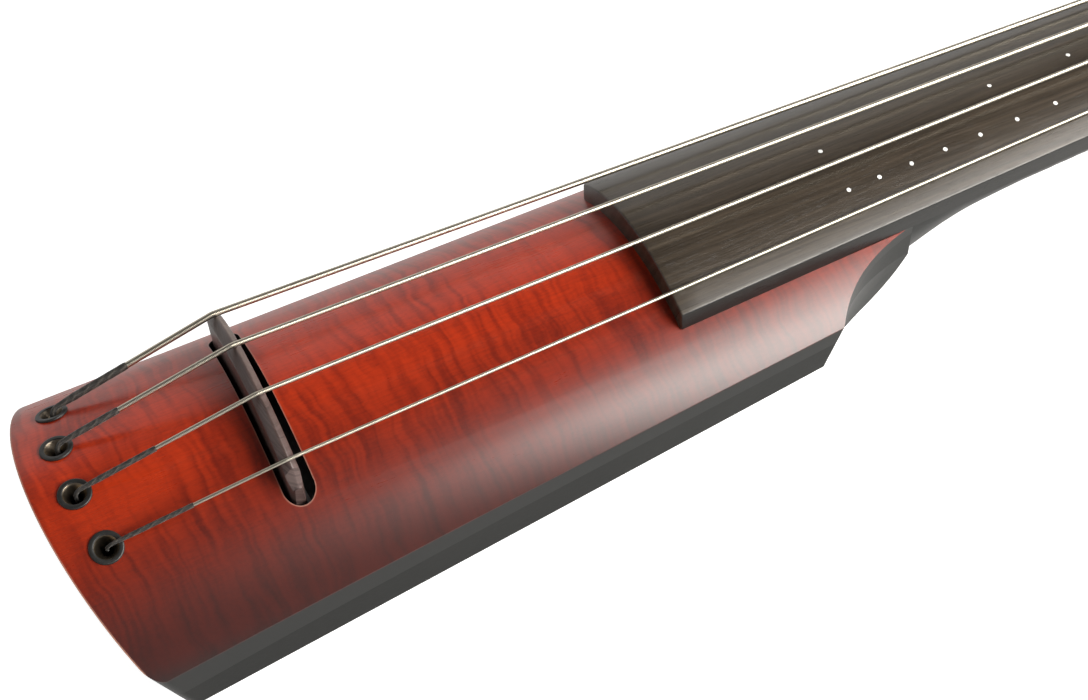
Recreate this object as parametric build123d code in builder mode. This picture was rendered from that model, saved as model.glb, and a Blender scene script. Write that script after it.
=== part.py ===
from build123d import *

from math import asin, atan2, cos, degrees, pi, radians, sin, sqrt
import os

# Compact electric upright bass, lying on its back, in millimetres.  The origin is
# the mouth of the stand socket in the middle of the back.  +X runs towards the head,
# +Y towards the bass (E string) side, +Z out of the front.

os.makedirs("parts", exist_ok=True)

# ---- strings -------------------------------------------------------------
scale_length = 1050.0  # 41.3 in, a standard upright-bass scale
bridge_x = -125.0  # bridge line, from the stand socket
nut_x = bridge_x + scale_length
string_top = 98.0  # string centre at the crown of the bridge, above the back
bridge_spacing = 27.0
nut_spacing = 9.2
crest_radius = 82.0  # arc of the string centres over the bridge
crest_shift = 1.63  # the arc leans a little to the bass side
nut_arc_drop = 12.06  # nut string centres below string_top, inner pair
nut_outer_drop = 13.37
string_names = ("e", "a", "d", "g")
string_slot = {"e": 1.5, "a": 0.5, "d": -0.5, "g": -1.5}
string_diameter = {"e": 2.7, "a": 2.2, "d": 1.8, "g": 1.4}

# ---- body ----------------------------------------------------------------
arch_radius = 84.6
arch_top = string_top - 17.55
top_thickness = 5.0
tail_x = bridge_x - 92.3  # tail tip on the crown of the arch
tail_undercut = 0.365  # run over rise of the slanted tail face
side_tail = (bridge_x - 75.0, 76.0)
side_heel = (bridge_x + 238.2, 62.6)
heel_tip = (bridge_x + 286.1, 39.5)
rim_tail = (bridge_x - 60.0, 75.0, 9.0)  # lower edge of the side wall
rim_heel = (bridge_x + 231.6, 61.5, 31.5)
rim_bevel_angle = 30.0
corner_round = 4.5
undercut_top = 53.0  # below this height the cutaways lean in under the top
undercut_lean = 0.39  # run over rise
clear_through = 90.0  # more than the body is deep
volute_centre = (bridge_x + 247.0, string_top - 25.0)
volute_radius = 44.5
ramp_start_x = bridge_x + 170.0

# ---- fingerboard and neck ------------------------------------------------
board_end_x = bridge_x + 170.0
board_end_half = 43.15
board_nut_half = 23.4
board_radius = 75.0
board_end_top = string_top - 6.22
board_nut_top = string_top - 13.59
board_end_foot = string_top - 28.9
board_nut_foot = string_top - 22.2
neck_block_half = 28.0
neck_block_bottom = string_top - 72.0
neck_block_round = 16.0
neck_inset = 2.0  # neck set in from the edge of the board
neck_depth = 21.0
neck_nut_depth = 17.0
sweep_end_x = bridge_x + 345.0  # the heel's sweep runs out into the neck here

# ---- bridge --------------------------------------------------------------
slot_x = bridge_x + 2.0
slot_width = 12.8
slot_half = 48.0
slot_floor = 22.0
blade_thickness = 7.0
blade_x = bridge_x + 1.2
channel_floor = 5.0
channel_wall = 2.35
channel_height = 17.0
foot_bottom = 33.0
foot_height = 8.0
lift_screw_y = 34.0
lift_screw_radius = 3.0
run_fit = 0.06  # radial clearance of turning parts

# ---- ferrules ------------------------------------------------------------
ferrule_outer = (bridge_x - 72.3, 35.75)
ferrule_inner = (bridge_x - 75.6, 12.15)
ferrule_flange = 6.65
ferrule_rise = 1.4
ferrule_stem = 5.2
ferrule_depth = 16.0
funnel_radius = 4.7
funnel_hole = 2.25
ball_seat_x = bridge_x - 45.0
ball_seat_z = 10.0

# ---- controls ------------------------------------------------------------
recess_x = (bridge_x + 14.0, bridge_x + 88.0)
recess_y = (7.0, 41.0)
recess_depth = 15.0
plate_thickness = 2.0
cavity_top = 48.0
cavity_ledge = 5.0
volume_x = bridge_x + 30.0
tone_x = bridge_x + 53.0
switch_x = bridge_x + 73.0
control_y = 24.0
knob_radius = 9.0
jack_x = bridge_x + 60.0
jack_z = 28.0
jack_bore = 3.225

# ---- stand plate ---------------------------------------------------------
stand_plate_size = (56.0, 38.0, 4.0)
stand_thread_radius = 5.0  # M10
stand_thread_depth = 16.0

# ---- head and tuners -----------------------------------------------------
head_x = nut_x + 8.0
head_face_z = 74.0
head_length = 184.0
head_thickness = 17.0
# The head leans back until its tip reaches the plane of the back.
head_angle = degrees(
    asin(head_face_z / sqrt(head_length**2 + head_thickness**2)) - atan2(head_thickness, head_length)
)
tuner_near = (55.0, 20.5)
tuner_far = (125.0, 13.5)
gear_teeth = 20
gear_module = 1.0
gear_width = 5.0
worm_pitch_radius = 4.0
worm_shaft_radius = 2.5
post_radius = 6.5
post_waist = 5.8
post_shaft = 5.0
plate_back = 2.5
plate_shift = 6.0
winding_gap = 0.3
tuner_screw_radius = 1.3


def along(distance):
    """X of a place measured from the bridge line towards the head."""
    return bridge_x + distance


def board_half(x):
    """Half width of the fingerboard at x."""
    share = (x - board_end_x) / (nut_x - board_end_x)
    return board_end_half + (board_nut_half - board_end_half) * share


def board_foot(x):
    """Height of the joint between fingerboard and neck at x."""
    share = (x - board_end_x) / (nut_x - board_end_x)
    return board_end_foot + (board_nut_foot - board_end_foot) * share


def board_top(x):
    """Height of the fingerboard's centre line at x."""
    share = (x - board_end_x) / (nut_x - board_end_x)
    return board_end_top + (board_nut_top - board_end_top) * share


def arch_height(y):
    """Height of the arched top at y."""
    return arch_top - arch_radius + sqrt(arch_radius**2 - y**2)


def finish(builder, name):
    """Label a piece and write it as its own STEP file."""
    builder.part.label = name
    export_step(builder.part, f"parts/{name}.step")


# ==== body blank: arch, sides, slanted tail, bevelled back, rounded heel ====
def rim_bevel(side):
    """Plane through the lower edge of one side wall, leaning in to the back."""
    tail = Vector(rim_tail[0], side * rim_tail[1], rim_tail[2])
    heel = Vector(rim_heel[0], side * rim_heel[1], rim_heel[2])
    inward = Vector(0, -side * cos(radians(rim_bevel_angle)), -sin(radians(rim_bevel_angle)))
    normal = (heel - tail).cross(inward)
    if normal.Z < 0:
        normal = normal * -1
    return Plane(origin=tail, x_dir=heel - tail, z_dir=normal)


ramp_run = volute_centre[0] - ramp_start_x
ramp_reach = sqrt(ramp_run**2 + volute_centre[1] ** 2)
ramp_angle = atan2(volute_centre[1], ramp_run) - asin(volute_radius / ramp_reach)
ramp_length = sqrt(ramp_reach**2 - volute_radius**2)
ramp_end = (ramp_start_x + ramp_length * cos(ramp_angle), ramp_length * sin(ramp_angle))
volute_mid_angle = (ramp_angle - pi / 2) / 2
volute_mid = (
    volute_centre[0] + volute_radius * cos(volute_mid_angle),
    volute_centre[1] + volute_radius * sin(volute_mid_angle),
)
volute_end = (volute_centre[0] + volute_radius, volute_centre[1])
side_slope = (side_tail[1] - side_heel[1]) / (side_tail[0] - side_heel[0])
past_tail = 30.0
blank_start = (side_tail[0] - past_tail, side_tail[1] - side_slope * past_tail)
cutaway_points = (side_heel, (along(245.5), 53.0), (along(257), 44.5), heel_tip)
cutaway_slope = (cutaway_points[1][1] - side_heel[1]) / (cutaway_points[1][0] - side_heel[0])

with BuildPart() as blank:
    with BuildSketch(Plane.XY):
        with BuildLine():
            Polyline((blank_start[0], 0), blank_start, side_heel)
            Bezier(*cutaway_points)
            Line(heel_tip, (heel_tip[0], 0))
            mirror(about=Plane.XZ)
        make_face()
    extrude(amount=arch_top + 1)
    with BuildSketch(Plane.YZ.offset(blank_start[0] - 1)):
        with Locations((0, arch_top - arch_radius)):
            Circle(arch_radius)
    extrude(amount=heel_tip[0] - blank_start[0] + 2, mode=Mode.INTERSECT)
    split(
        bisect_by=Plane(origin=(tail_x, 0, arch_top), z_dir=(1, 0, tail_undercut)),
        keep=Keep.TOP,
    )
    for side in (1, -1):
        split(bisect_by=rim_bevel(side), keep=Keep.TOP)
    with BuildSketch(Plane.XZ):
        with BuildLine():
            Line((ramp_start_x, 0), ramp_end)
            ThreePointArc(ramp_end, volute_mid, volute_end)
            Polyline(
                volute_end,
                (volute_end[0] + 20, volute_end[1]),
                (volute_end[0] + 20, -10),
                (ramp_start_x, -10),
                (ramp_start_x, 0),
            )
        make_face()
    extrude(amount=clear_through, both=True, mode=Mode.SUBTRACT)
    with BuildSketch(Plane.XY.offset(undercut_top)):  # room outside the cutaways
        with BuildLine():
            Bezier(*cutaway_points)
            Polyline(
                heel_tip,
                (heel_tip[0] + 30, heel_tip[1]),
                (heel_tip[0] + 30, side_heel[1] - 12 * cutaway_slope),
                (side_heel[0] - 12, side_heel[1] - 12 * cutaway_slope),
                side_heel,
            )
        make_face()
        mirror(about=Plane.XZ)
    extrude(amount=clear_through, dir=(-undercut_lean, 0, -1), mode=Mode.SUBTRACT)
    tail_corners = blank.edges().filter_by(
        lambda edge: edge.center().X < side_tail[0] + 12
        and abs(edge.center().Y) > rim_tail[1] - 2
        and abs((edge @ 1 - edge @ 0).Z) > 15
    )
    fillet(tail_corners, radius=corner_round)


# ==== cutters shared by the body's layers ===================================
with BuildPart() as neck_pocket:  # U-shaped slot for the neck's block
    with BuildSketch(Plane.YZ.offset(board_end_x + 2)) as pocket_section:
        with Locations((0, neck_block_bottom)):
            Rectangle(2 * neck_block_half, clear_through, align=(Align.CENTER, Align.MIN))
        fillet(pocket_section.vertices().group_by(Axis.Y)[0], radius=neck_block_round)
    extrude(amount=heel_tip[0] - board_end_x + 10)

with BuildPart() as board_seat:  # room for the fingerboard's foot in the arch
    for x in (board_end_x, heel_tip[0] + 5):
        with BuildSketch(Plane.YZ.offset(x)):
            with Locations((0, board_foot(x))):
                Rectangle(2 * board_half(x), clear_through, align=(Align.CENTER, Align.MIN))
    loft(ruled=True)

with BuildPart() as inner_arch:  # the underside of the maple top
    with BuildSketch(Plane.YZ.offset(blank_start[0])):
        with Locations((0, arch_top - arch_radius)):
            Circle(arch_radius - top_thickness)
    extrude(amount=heel_tip[0] - blank_start[0] + 20)


def ferrule_place(name):
    """X and Y of the ferrule of one string."""
    place = ferrule_outer if name in "eg" else ferrule_inner
    side = 1 if string_slot[name] > 0 else -1
    return place[0], side * place[1]


def ferrule_plane(name):
    """Plane on the arch at a ferrule, its Z axis square to the surface."""
    x, y = ferrule_place(name)
    lean = y / arch_radius
    return Plane(origin=(x, y, arch_height(y)), x_dir=(1, 0, 0), z_dir=(0, lean, sqrt(1 - lean**2)))


def bore_knee(name):
    """Where the ferrule's bore meets the bore from the back."""
    return ferrule_plane(name).from_local_coords(Vector(0, 0, -ferrule_depth))


def ball_seat(name):
    """Where the string's ball end bears, in the bore from the back."""
    return Vector(ball_seat_x, bore_knee(name).Y, ball_seat_z)


def ball_plane(name):
    """Plane at the ball seat, its Z axis pointing up the bore."""
    seat = ball_seat(name)
    return Plane(origin=seat, x_dir=(0, 1, 0), z_dir=bore_knee(name) - seat)


bore_radius = 2.6
ball_well_radius = 6.0
ball_well_depth = 34.0
ball_cup_seat = 2.2
ball_cup_top = ball_cup_seat + 1.6
screw_well_radius = 4.2
neck_bolt_places = [(along(x), y) for x in (184.0, 209.0) for y in (-16.0, 16.0)]
neck_bolt_radius = 3.0
neck_cup_radius = 8.0
neck_cup_seat = 17.0

control_mid = (sum(recess_x) / 2, sum(recess_y) / 2)
control_span = (recess_x[1] - recess_x[0], recess_y[1] - recess_y[0])


def four_corners(middle, half_x, half_y):
    """Screw places at the corners of a plate."""
    return [(middle[0] + sx * half_x, middle[1] + sy * half_y) for sx in (-1, 1) for sy in (-1, 1)]


control_screws_at = four_corners(control_mid, control_span[0] / 2 - 3.6, control_span[1] / 2 - 3.6)
stand_screws_at = four_corners((0, 0), stand_plate_size[0] / 2 - 6, stand_plate_size[1] / 2 - 6)
control_screw_radius = 1.5
stand_screw_radius = 2.0
control_screw_length = 12.0
stand_screw_length = 22.0
recess_round = 5.0
cavity_round = 3.0
stand_plate_round = 6.0
stand_boss_radius = 8.5
jack_barrel = 5.9
wood_gap = 0.1  # round metal parts let into the wood
neck_bolt_grip = 22.0  # bolt hole's depth in the neck's block

# ==== body ==================================================================
with BuildPart() as body_core:
    add(blank.part)
    add(inner_arch.part, mode=Mode.INTERSECT)
    add(board_seat.part, mode=Mode.SUBTRACT)
    add(neck_pocket.part, mode=Mode.SUBTRACT)
    with BuildSketch(Plane.XY.offset(slot_floor)):  # bridge slot
        with Locations((slot_x, 0)):
            SlotOverall(2 * slot_half, slot_width, rotation=90)
    extrude(amount=clear_through, mode=Mode.SUBTRACT)
    with BuildSketch(Plane.XY):  # key access to the lift screws
        with Locations(*[(slot_x, side * lift_screw_y) for side in (1, -1)]):
            Circle(screw_well_radius)
    extrude(amount=slot_floor + 1, mode=Mode.SUBTRACT)
    for name in string_names:  # ferrule and string bores
        with BuildSketch(ferrule_plane(name)):
            Circle(ferrule_stem)
        extrude(amount=-ferrule_depth, mode=Mode.SUBTRACT)
        with BuildSketch(ball_plane(name)):
            Circle(bore_radius)
        extrude(amount=(bore_knee(name) - ball_seat(name)).length + 1, mode=Mode.SUBTRACT)
        with BuildSketch(ball_plane(name).offset(ball_cup_top)):
            Circle(ball_well_radius)
        extrude(amount=-ball_well_depth, mode=Mode.SUBTRACT)
    with BuildSketch(Plane.XY):  # control recess
        with Locations(control_mid):
            RectangleRounded(*control_span, recess_round)
    extrude(amount=recess_depth, mode=Mode.SUBTRACT)
    with BuildSketch(Plane.XY):  # electronics cavity above the control plate
        with Locations(control_mid):
            RectangleRounded(
                control_span[0] - 2 * cavity_ledge,
                control_span[1] - 2 * cavity_ledge,
                cavity_round,
            )
    extrude(amount=cavity_top, mode=Mode.SUBTRACT)
    with BuildSketch(Plane.XZ.offset(-side_tail[1])):  # output jack bore
        with Locations((jack_x, jack_z)):
            Circle(jack_barrel + wood_gap)
    extrude(amount=side_tail[1] - recess_y[1] + cavity_ledge + 2, mode=Mode.SUBTRACT)
    with BuildSketch(Plane.XY):  # bed of the stand plate
        RectangleRounded(stand_plate_size[0], stand_plate_size[1], stand_plate_round)
    extrude(amount=stand_plate_size[2], mode=Mode.SUBTRACT)
    with BuildSketch(Plane.XY):  # clearance behind the stand socket
        Circle(stand_boss_radius + 0.5)
    extrude(amount=stand_plate_size[2] + stand_thread_depth, mode=Mode.SUBTRACT)
    with BuildSketch(Plane.XY):  # neck bolts, from the back
        with Locations(*neck_bolt_places):
            Circle(neck_cup_radius)
    extrude(amount=neck_cup_seat, mode=Mode.SUBTRACT)
    with BuildSketch(Plane.XY):
        with Locations(*neck_bolt_places):
            Circle(neck_bolt_radius)
    extrude(amount=neck_block_bottom + neck_bolt_grip, mode=Mode.SUBTRACT)
    with BuildSketch(Plane.XY.offset(recess_depth)):
        with Locations(*control_screws_at):
            Circle(control_screw_radius)
    extrude(amount=control_screw_length - plate_thickness, mode=Mode.SUBTRACT)
    with BuildSketch(Plane.XY):
        with Locations(*stand_screws_at):
            Circle(stand_screw_radius)
    extrude(amount=stand_screw_length, mode=Mode.SUBTRACT)
finish(body_core, "body_core")

with BuildPart() as top_plate:
    add(blank.part)
    add(inner_arch.part, mode=Mode.SUBTRACT)
    add(board_seat.part, mode=Mode.SUBTRACT)
    with BuildSketch(Plane.XY):
        with Locations((slot_x, 0)):
            SlotOverall(2 * slot_half, slot_width, rotation=90)
    extrude(amount=clear_through, mode=Mode.SUBTRACT)
    for name in string_names:
        with BuildSketch(ferrule_plane(name)):
            Circle(ferrule_stem)
        extrude(amount=ferrule_depth, both=True, mode=Mode.SUBTRACT)
finish(top_plate, "top_plate")

# ==== neck and fingerboard ==================================================
def neck_section(x, half, depth):
    """Half ellipse under the fingerboard at x."""
    with BuildSketch() as section:
        with BuildLine():
            EllipticalCenterArc((0, board_foot(x)), half, depth, start_angle=180, arc_size=180)
            Line((-half, board_foot(x)), (half, board_foot(x)))
        make_face()
    return section.sketch


heel_stations = (  # distance from the bridge line, depth under the fingerboard
    (286.3, 46.0),
    (298.0, 39.5),
    (310.0, 30.5),
    (325.0, 24.3),
    (345.0, neck_depth),
)
head_plane = Plane(
    origin=(head_x, 0, head_face_z),
    x_dir=(cos(radians(head_angle)), 0, -sin(radians(head_angle))),
    z_dir=(sin(radians(head_angle)), 0, cos(radians(head_angle))),
)
rod_width = 6.4
rod_height = 9.0
rod_end_x = along(330)
nut_thickness = 6.0
post_bore = 7.5
tuner_screw_grip = 7.5  # depth of the screws in the head


def on_head(x, y, z):
    """A place given on the head's face, in the bass's own axes."""
    return head_plane.from_local_coords(Vector(x, y, z))


def tuner_place(name):
    """Place of the tuner of one string on the head's face, and its side."""
    x, y = tuner_near if name in "eg" else tuner_far
    side = 1 if string_slot[name] > 0 else -1
    return x, side * y, side


def tuner_plate_screws(name):
    """Screw places of one tuner's plate on the head."""
    x, y, side = tuner_place(name)
    return four_corners((x + plate_shift, y), 16.0, 10.5)


with BuildPart() as neck:
    for station, depth in heel_stations:
        x = along(station)
        with BuildSketch(Plane.YZ.offset(x)):
            add(neck_section(x, board_half(x) - neck_inset, depth))
    loft()
    for x, depth in ((sweep_end_x, neck_depth), (nut_x - 20, neck_nut_depth)):
        with BuildSketch(Plane.YZ.offset(x)):
            add(neck_section(x, board_half(x) - neck_inset, depth))
    loft(ruled=True)
    with BuildSketch(Plane.YZ.offset(board_end_x + 2)) as block_section:
        with Locations((0, neck_block_bottom)):
            Rectangle(
                2 * neck_block_half,
                board_foot(heel_tip[0]) - neck_block_bottom,
                align=(Align.CENTER, Align.MIN),
            )
        fillet(block_section.vertices().group_by(Axis.Y)[0], radius=neck_block_round)
    extrude(amount=heel_tip[0] + 0.2 - board_end_x - 2)
    add(board_seat.part, mode=Mode.SUBTRACT)
    with BuildSketch(head_plane):  # head, flaring from the nut and tapering to the tip
        with BuildLine():
            throat = (-9.0, board_nut_half - 1.0)
            shoulder = (34.0, 38.0)
            tip = (head_length - 6, 27.0)
            Bezier(throat, (8.0, 24.0), (14.0, 38.0), shoulder)
            Line(shoulder, tip)
            RadiusArc(tip, (head_length, 20.0), -9)
            Line((head_length, 20.0), (head_length, 0))
            mirror(about=Plane.XZ)
            Line(throat, (throat[0], -throat[1]))
        make_face()
    extrude(amount=-head_thickness)
    for x, half, depth in (
        (nut_x - 20, board_half(nut_x - 20) - neck_inset, neck_nut_depth),
        (nut_x + 6, board_nut_half - neck_inset, neck_nut_depth + 4),
    ):  # volute into the head
        with BuildSketch(Plane.YZ.offset(x)):
            add(neck_section(x, half, depth))
    loft(ruled=True)
    with BuildSketch(Plane.XZ):  # level above the head's face behind the nut
        with BuildLine():
            face_start = on_head(-1.0, 0, 0)
            face_end = on_head(head_length + 20, 0, 0)
            Polyline(
                (nut_x + nut_thickness, board_nut_foot),
                (face_start.X, face_start.Z),
                (face_end.X, face_end.Z),
                (face_end.X, board_nut_foot + 40),
                (nut_x + nut_thickness, board_nut_foot + 40),
                close=True,
            )
        make_face()
    extrude(amount=60, both=True, mode=Mode.SUBTRACT)
    with BuildSketch(Plane.XZ):  # flat under nut and fingerboard
        with BuildLine():
            Polyline(
                (board_end_x, board_end_foot),
                (nut_x, board_nut_foot),
                (nut_x + nut_thickness, board_nut_foot),
                (nut_x + nut_thickness, board_nut_foot + 40),
                (board_end_x, board_nut_foot + 40),
                close=True,
            )
        make_face()
    extrude(amount=60, both=True, mode=Mode.SUBTRACT)
    for x, y in neck_bolt_places:
        with BuildSketch(Plane.XY.offset(neck_block_bottom)):
            with Locations((x, y)):
                Circle(neck_bolt_radius)
        extrude(amount=neck_bolt_grip, mode=Mode.SUBTRACT)
    with BuildSketch(Plane.XZ) as rod_slot:  # truss rod channel
        with BuildLine():
            Polyline(
                (rod_end_x, board_foot(rod_end_x) + 1),
                (nut_x + 1, board_nut_foot + 1),
                (nut_x + 1, board_nut_foot - rod_height),
                (rod_end_x, board_foot(rod_end_x) - rod_height),
                close=True,
            )
        make_face()
    extrude(amount=rod_width / 2, both=True, mode=Mode.SUBTRACT)
    for x, y in (tuner_near, tuner_far):
        for side in (1, -1):
            with BuildSketch(head_plane):
                with Locations((x, side * y)):
                    Circle(post_bore)
            extrude(amount=-head_thickness, mode=Mode.SUBTRACT)
    for name in string_names:
        with BuildSketch(head_plane.offset(-head_thickness)):
            with Locations(*tuner_plate_screws(name)):
                Circle(tuner_screw_radius)
        extrude(amount=tuner_screw_grip, mode=Mode.SUBTRACT)
finish(neck, "neck")

dot_radius = 1.0
dot_depth = 1.2


def fret_x(semitone):
    """X of the place on the string where a semitone sounds."""
    return bridge_x + scale_length * 2 ** (-semitone / 12)


def string_gap_y(x):
    """Middle of the gap between the D and G strings at x."""
    return -(bridge_spacing + (nut_spacing - bridge_spacing) * (x - bridge_x) / scale_length)


semitone_dots = [(fret_x(n), string_gap_y(fret_x(n))) for n in range(12, 25)]
centre_dots = [(fret_x(n), 0.0) for n in (3, 5, 7, 9, 12, 15, 17, 19, 24)]
side_dot_steps = (3, 5, 7, 9, 12, 15, 17, 19)


def board_surface(x, y):
    """Height of the fingerboard at x, y."""
    return board_top(x) - board_radius + sqrt(board_radius**2 - y**2)


def side_dot_plane(semitone):
    """Plane on the bass side of the fingerboard at a semitone."""
    x = fret_x(semitone)
    return Plane(
        origin=(x, board_half(x), (board_foot(x) + board_surface(x, board_half(x))) / 2),
        x_dir=(1, 0, 0),
        z_dir=(0, 1, 0),
    )


with BuildPart() as dot_set:
    for x, y in semitone_dots + centre_dots:
        with BuildSketch(Plane.XY.offset(board_surface(x, y) + 0.02)):
            with Locations((x, y)):
                Circle(dot_radius)
        extrude(amount=-dot_depth)
finish(dot_set, "position_dots")

with BuildPart() as side_dot_set:
    for semitone in side_dot_steps:
        with BuildSketch(side_dot_plane(semitone).offset(-dot_depth)):
            Circle(dot_radius)
        extrude(amount=dot_depth + 0.02)
finish(side_dot_set, "side_dots")

with BuildPart() as fingerboard:
    for x in (board_end_x, nut_x):
        half = board_half(x)
        with BuildSketch(Plane.YZ.offset(x)):
            with BuildLine():
                Polyline(
                    (-half, board_surface(x, half)),
                    (-half, board_foot(x)),
                    (half, board_foot(x)),
                    (half, board_surface(x, half)),
                )
                ThreePointArc(
                    (-half, board_surface(x, half)),
                    (0, board_top(x)),
                    (half, board_surface(x, half)),
                )
            make_face()
    loft(ruled=True)
    add(dot_set.part, mode=Mode.SUBTRACT)
    add(side_dot_set.part, mode=Mode.SUBTRACT)
finish(fingerboard, "fingerboard")

with BuildPart() as truss_rod:
    with BuildSketch(Plane.XZ):
        with BuildLine():
            Polyline(
                (rod_end_x + 1, board_foot(rod_end_x) - 1.0),
                (nut_x - 1, board_nut_foot - 1.0),
                (nut_x - 1, board_nut_foot - rod_height + 1.0),
                (rod_end_x + 1, board_foot(rod_end_x) - rod_height + 1.0),
                close=True,
            )
        make_face()
    extrude(amount=rod_width / 2 - 0.1, both=True)
finish(truss_rod, "truss_rod")

# ==== strings ===============================================================
winding_height_on_post = 9.0
silk_thickness = 0.35
silk_start = {"e": 34.0, "a": 27.0, "d": 34.0, "g": 35.0}
peg_silk_length = 46.0
silk_from_mouth = 6.0  # the thread starts past the bends
silk_from_peg = 9.0
bridge_bend = 8.0
nut_bend = 14.0
mouth_bend = 4.6
knee_bend = 14.0
mouth_rise = 1.7  # string centre above the arch at the ferrule's mouth


def winding_radius(name):
    """Radius of the string's centre line round its post."""
    return post_waist + winding_gap + string_diameter[name] / 2


def bridge_contact(name):
    """String centre over the bridge."""
    y = string_slot[name] * bridge_spacing
    sag = crest_radius - sqrt(crest_radius**2 - (y - crest_shift) ** 2)
    return Vector(bridge_x, y, string_top - sag)


def nut_contact(name):
    """String centre at the nut's edge."""
    drop = nut_outer_drop if name in "eg" else nut_arc_drop
    return Vector(nut_x, string_slot[name] * nut_spacing, string_top - drop)


def ferrule_mouth(name):
    """String centre where it turns down into the ferrule."""
    return ferrule_plane(name).from_local_coords(Vector(0, 0, mouth_rise))


def peg_end(name):
    """Where the string meets its windings on the post."""
    x, y, side = tuner_place(name)
    return on_head(x, y - side * winding_radius(name), winding_height_on_post)


def string_solid(name, grow=0.0):
    """The string along its whole route; grow widens it for the notches it lies in."""
    route = [
        ball_seat(name) + (bore_knee(name) - ball_seat(name)).normalized() * ball_cup_seat,
        bore_knee(name),
        ferrule_mouth(name),
        bridge_contact(name),
        nut_contact(name),
        peg_end(name),
    ]
    radii = [knee_bend, mouth_bend, bridge_bend, nut_bend]
    with BuildPart() as wire:
        with BuildLine() as path:
            FilletPolyline(*route, radius=radii)
        with BuildSketch(Plane(origin=path.line @ 0, z_dir=path.line % 0)):
            Circle(string_diameter[name] / 2 + grow)
        sweep(path=path.line)
        if grow == 0.0:
            x, y, side = tuner_place(name)
            low = winding_height_on_post - string_diameter[name] / 2
            with BuildSketch(head_plane.offset(low)):
                with Locations((x, y)):
                    Circle(winding_radius(name) + string_diameter[name] / 2)
                    Circle(post_waist + winding_gap, mode=Mode.SUBTRACT)
            extrude(amount=3 * string_diameter[name])
    return wire


strings = {name: string_solid(name) for name in string_names}
for name, wire in strings.items():
    finish(wire, f"string_{name}")

with BuildPart() as silks:  # thread wound round both ends of every string
    for name in string_names:
        to_bridge = (bridge_contact(name) - ferrule_mouth(name)).normalized()
        to_nut = (nut_contact(name) - peg_end(name)).normalized()
        low = ferrule_mouth(name) + to_bridge * silk_from_mouth
        high = peg_end(name) + to_nut * silk_from_peg
        silk_runs = (
            (low, to_bridge, silk_start[name] - silk_from_mouth),
            (high, to_nut, peg_silk_length - silk_from_peg),
        )
        for start, direction, length in silk_runs:
            with BuildSketch(Plane(origin=start, z_dir=direction)):
                Circle(string_diameter[name] / 2 + silk_thickness)
                Circle(string_diameter[name] / 2, mode=Mode.SUBTRACT)
            extrude(amount=length)
finish(silks, "string_silks")

ball_end_radius = 3.4
ball_end_length = 4.8

with BuildPart() as ball_ends:  # brass barrels the strings are looped into
    for name in string_names:
        with BuildSketch(ball_plane(name).offset(ball_cup_seat - ball_end_length)):
            Circle(ball_end_radius)
        extrude(amount=ball_end_length)
finish(ball_ends, "ball_ends")

with BuildPart() as ball_cups:  # rings the barrels bear against
    for name in string_names:
        with BuildSketch(ball_plane(name).offset(ball_cup_seat)):
            Circle(ball_well_radius)
            Circle(funnel_hole, mode=Mode.SUBTRACT)
        extrude(amount=ball_cup_top - ball_cup_seat)
finish(ball_cups, "ball_cups")

with BuildPart() as front_ferrules:
    for name in string_names:
        place = ferrule_plane(name)
        rim = Plane(origin=place.origin, x_dir=place.x_dir, z_dir=-place.y_dir)
        with BuildSketch(rim):
            with BuildLine():
                Polyline(
                    (funnel_hole, -ferrule_depth + 1),
                    (ferrule_stem, -ferrule_depth + 1),
                    (ferrule_stem, 0.0),
                    (ferrule_flange, 0.0),
                    (ferrule_flange, 0.5),
                    (ferrule_flange - 0.9, ferrule_rise),
                    (funnel_radius, ferrule_rise),
                    (funnel_hole, -4.0),
                    close=True,
                )
            make_face()
        revolve(axis=Axis(place.origin, place.z_dir))
    for name in string_names:
        add(string_solid(name, grow=0.08).part, mode=Mode.SUBTRACT)
finish(front_ferrules, "front_ferrules")

# ==== nut ===================================================================
with BuildPart() as nut:
    crown = string_top - nut_arc_drop
    with BuildSketch(Plane.XZ):
        with BuildLine():
            Polyline(
                (nut_x, board_nut_foot),
                (nut_x + nut_thickness, board_nut_foot),
                (nut_x + nut_thickness, crown - 1.6),
                (nut_x, crown + 0.6),
                close=True,
            )
        make_face()
    extrude(amount=board_nut_half, both=True)
    with BuildSketch(Plane.YZ.offset(nut_x - 1)):
        with Locations((0, crown + 0.6 - board_radius)):
            Circle(board_radius)
    extrude(amount=nut_thickness + 2, mode=Mode.INTERSECT)
    for name in string_names:
        add(string_solid(name, grow=0.03).part, mode=Mode.SUBTRACT)
finish(nut, "nut")

# ==== bridge ================================================================
blade_bottom = foot_bottom + foot_height
blade_low_half = 43.5
blade_wide_half = 46.2
blade_wide_z = 74.0
blade_crest_half = 43.0
crest_drop = 0.9  # blade's crest below the string centres
lift_places = [(slot_x, side * lift_screw_y) for side in (1, -1)]
lift_screw_low = 14.0
lift_pin_radius = 2.0  # the screws' upper ends turn in the foot
lift_pin_reach = 5.0
key_depth = 3.0
pickup_width = 3.0
pickup_length = 76.0
pickup_height = 2.3


def crest_height(y):
    """Height of the blade's crest at y."""
    radius = crest_radius - crest_drop
    return string_top - crest_radius + sqrt(radius**2 - (y - crest_shift) ** 2)


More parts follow.
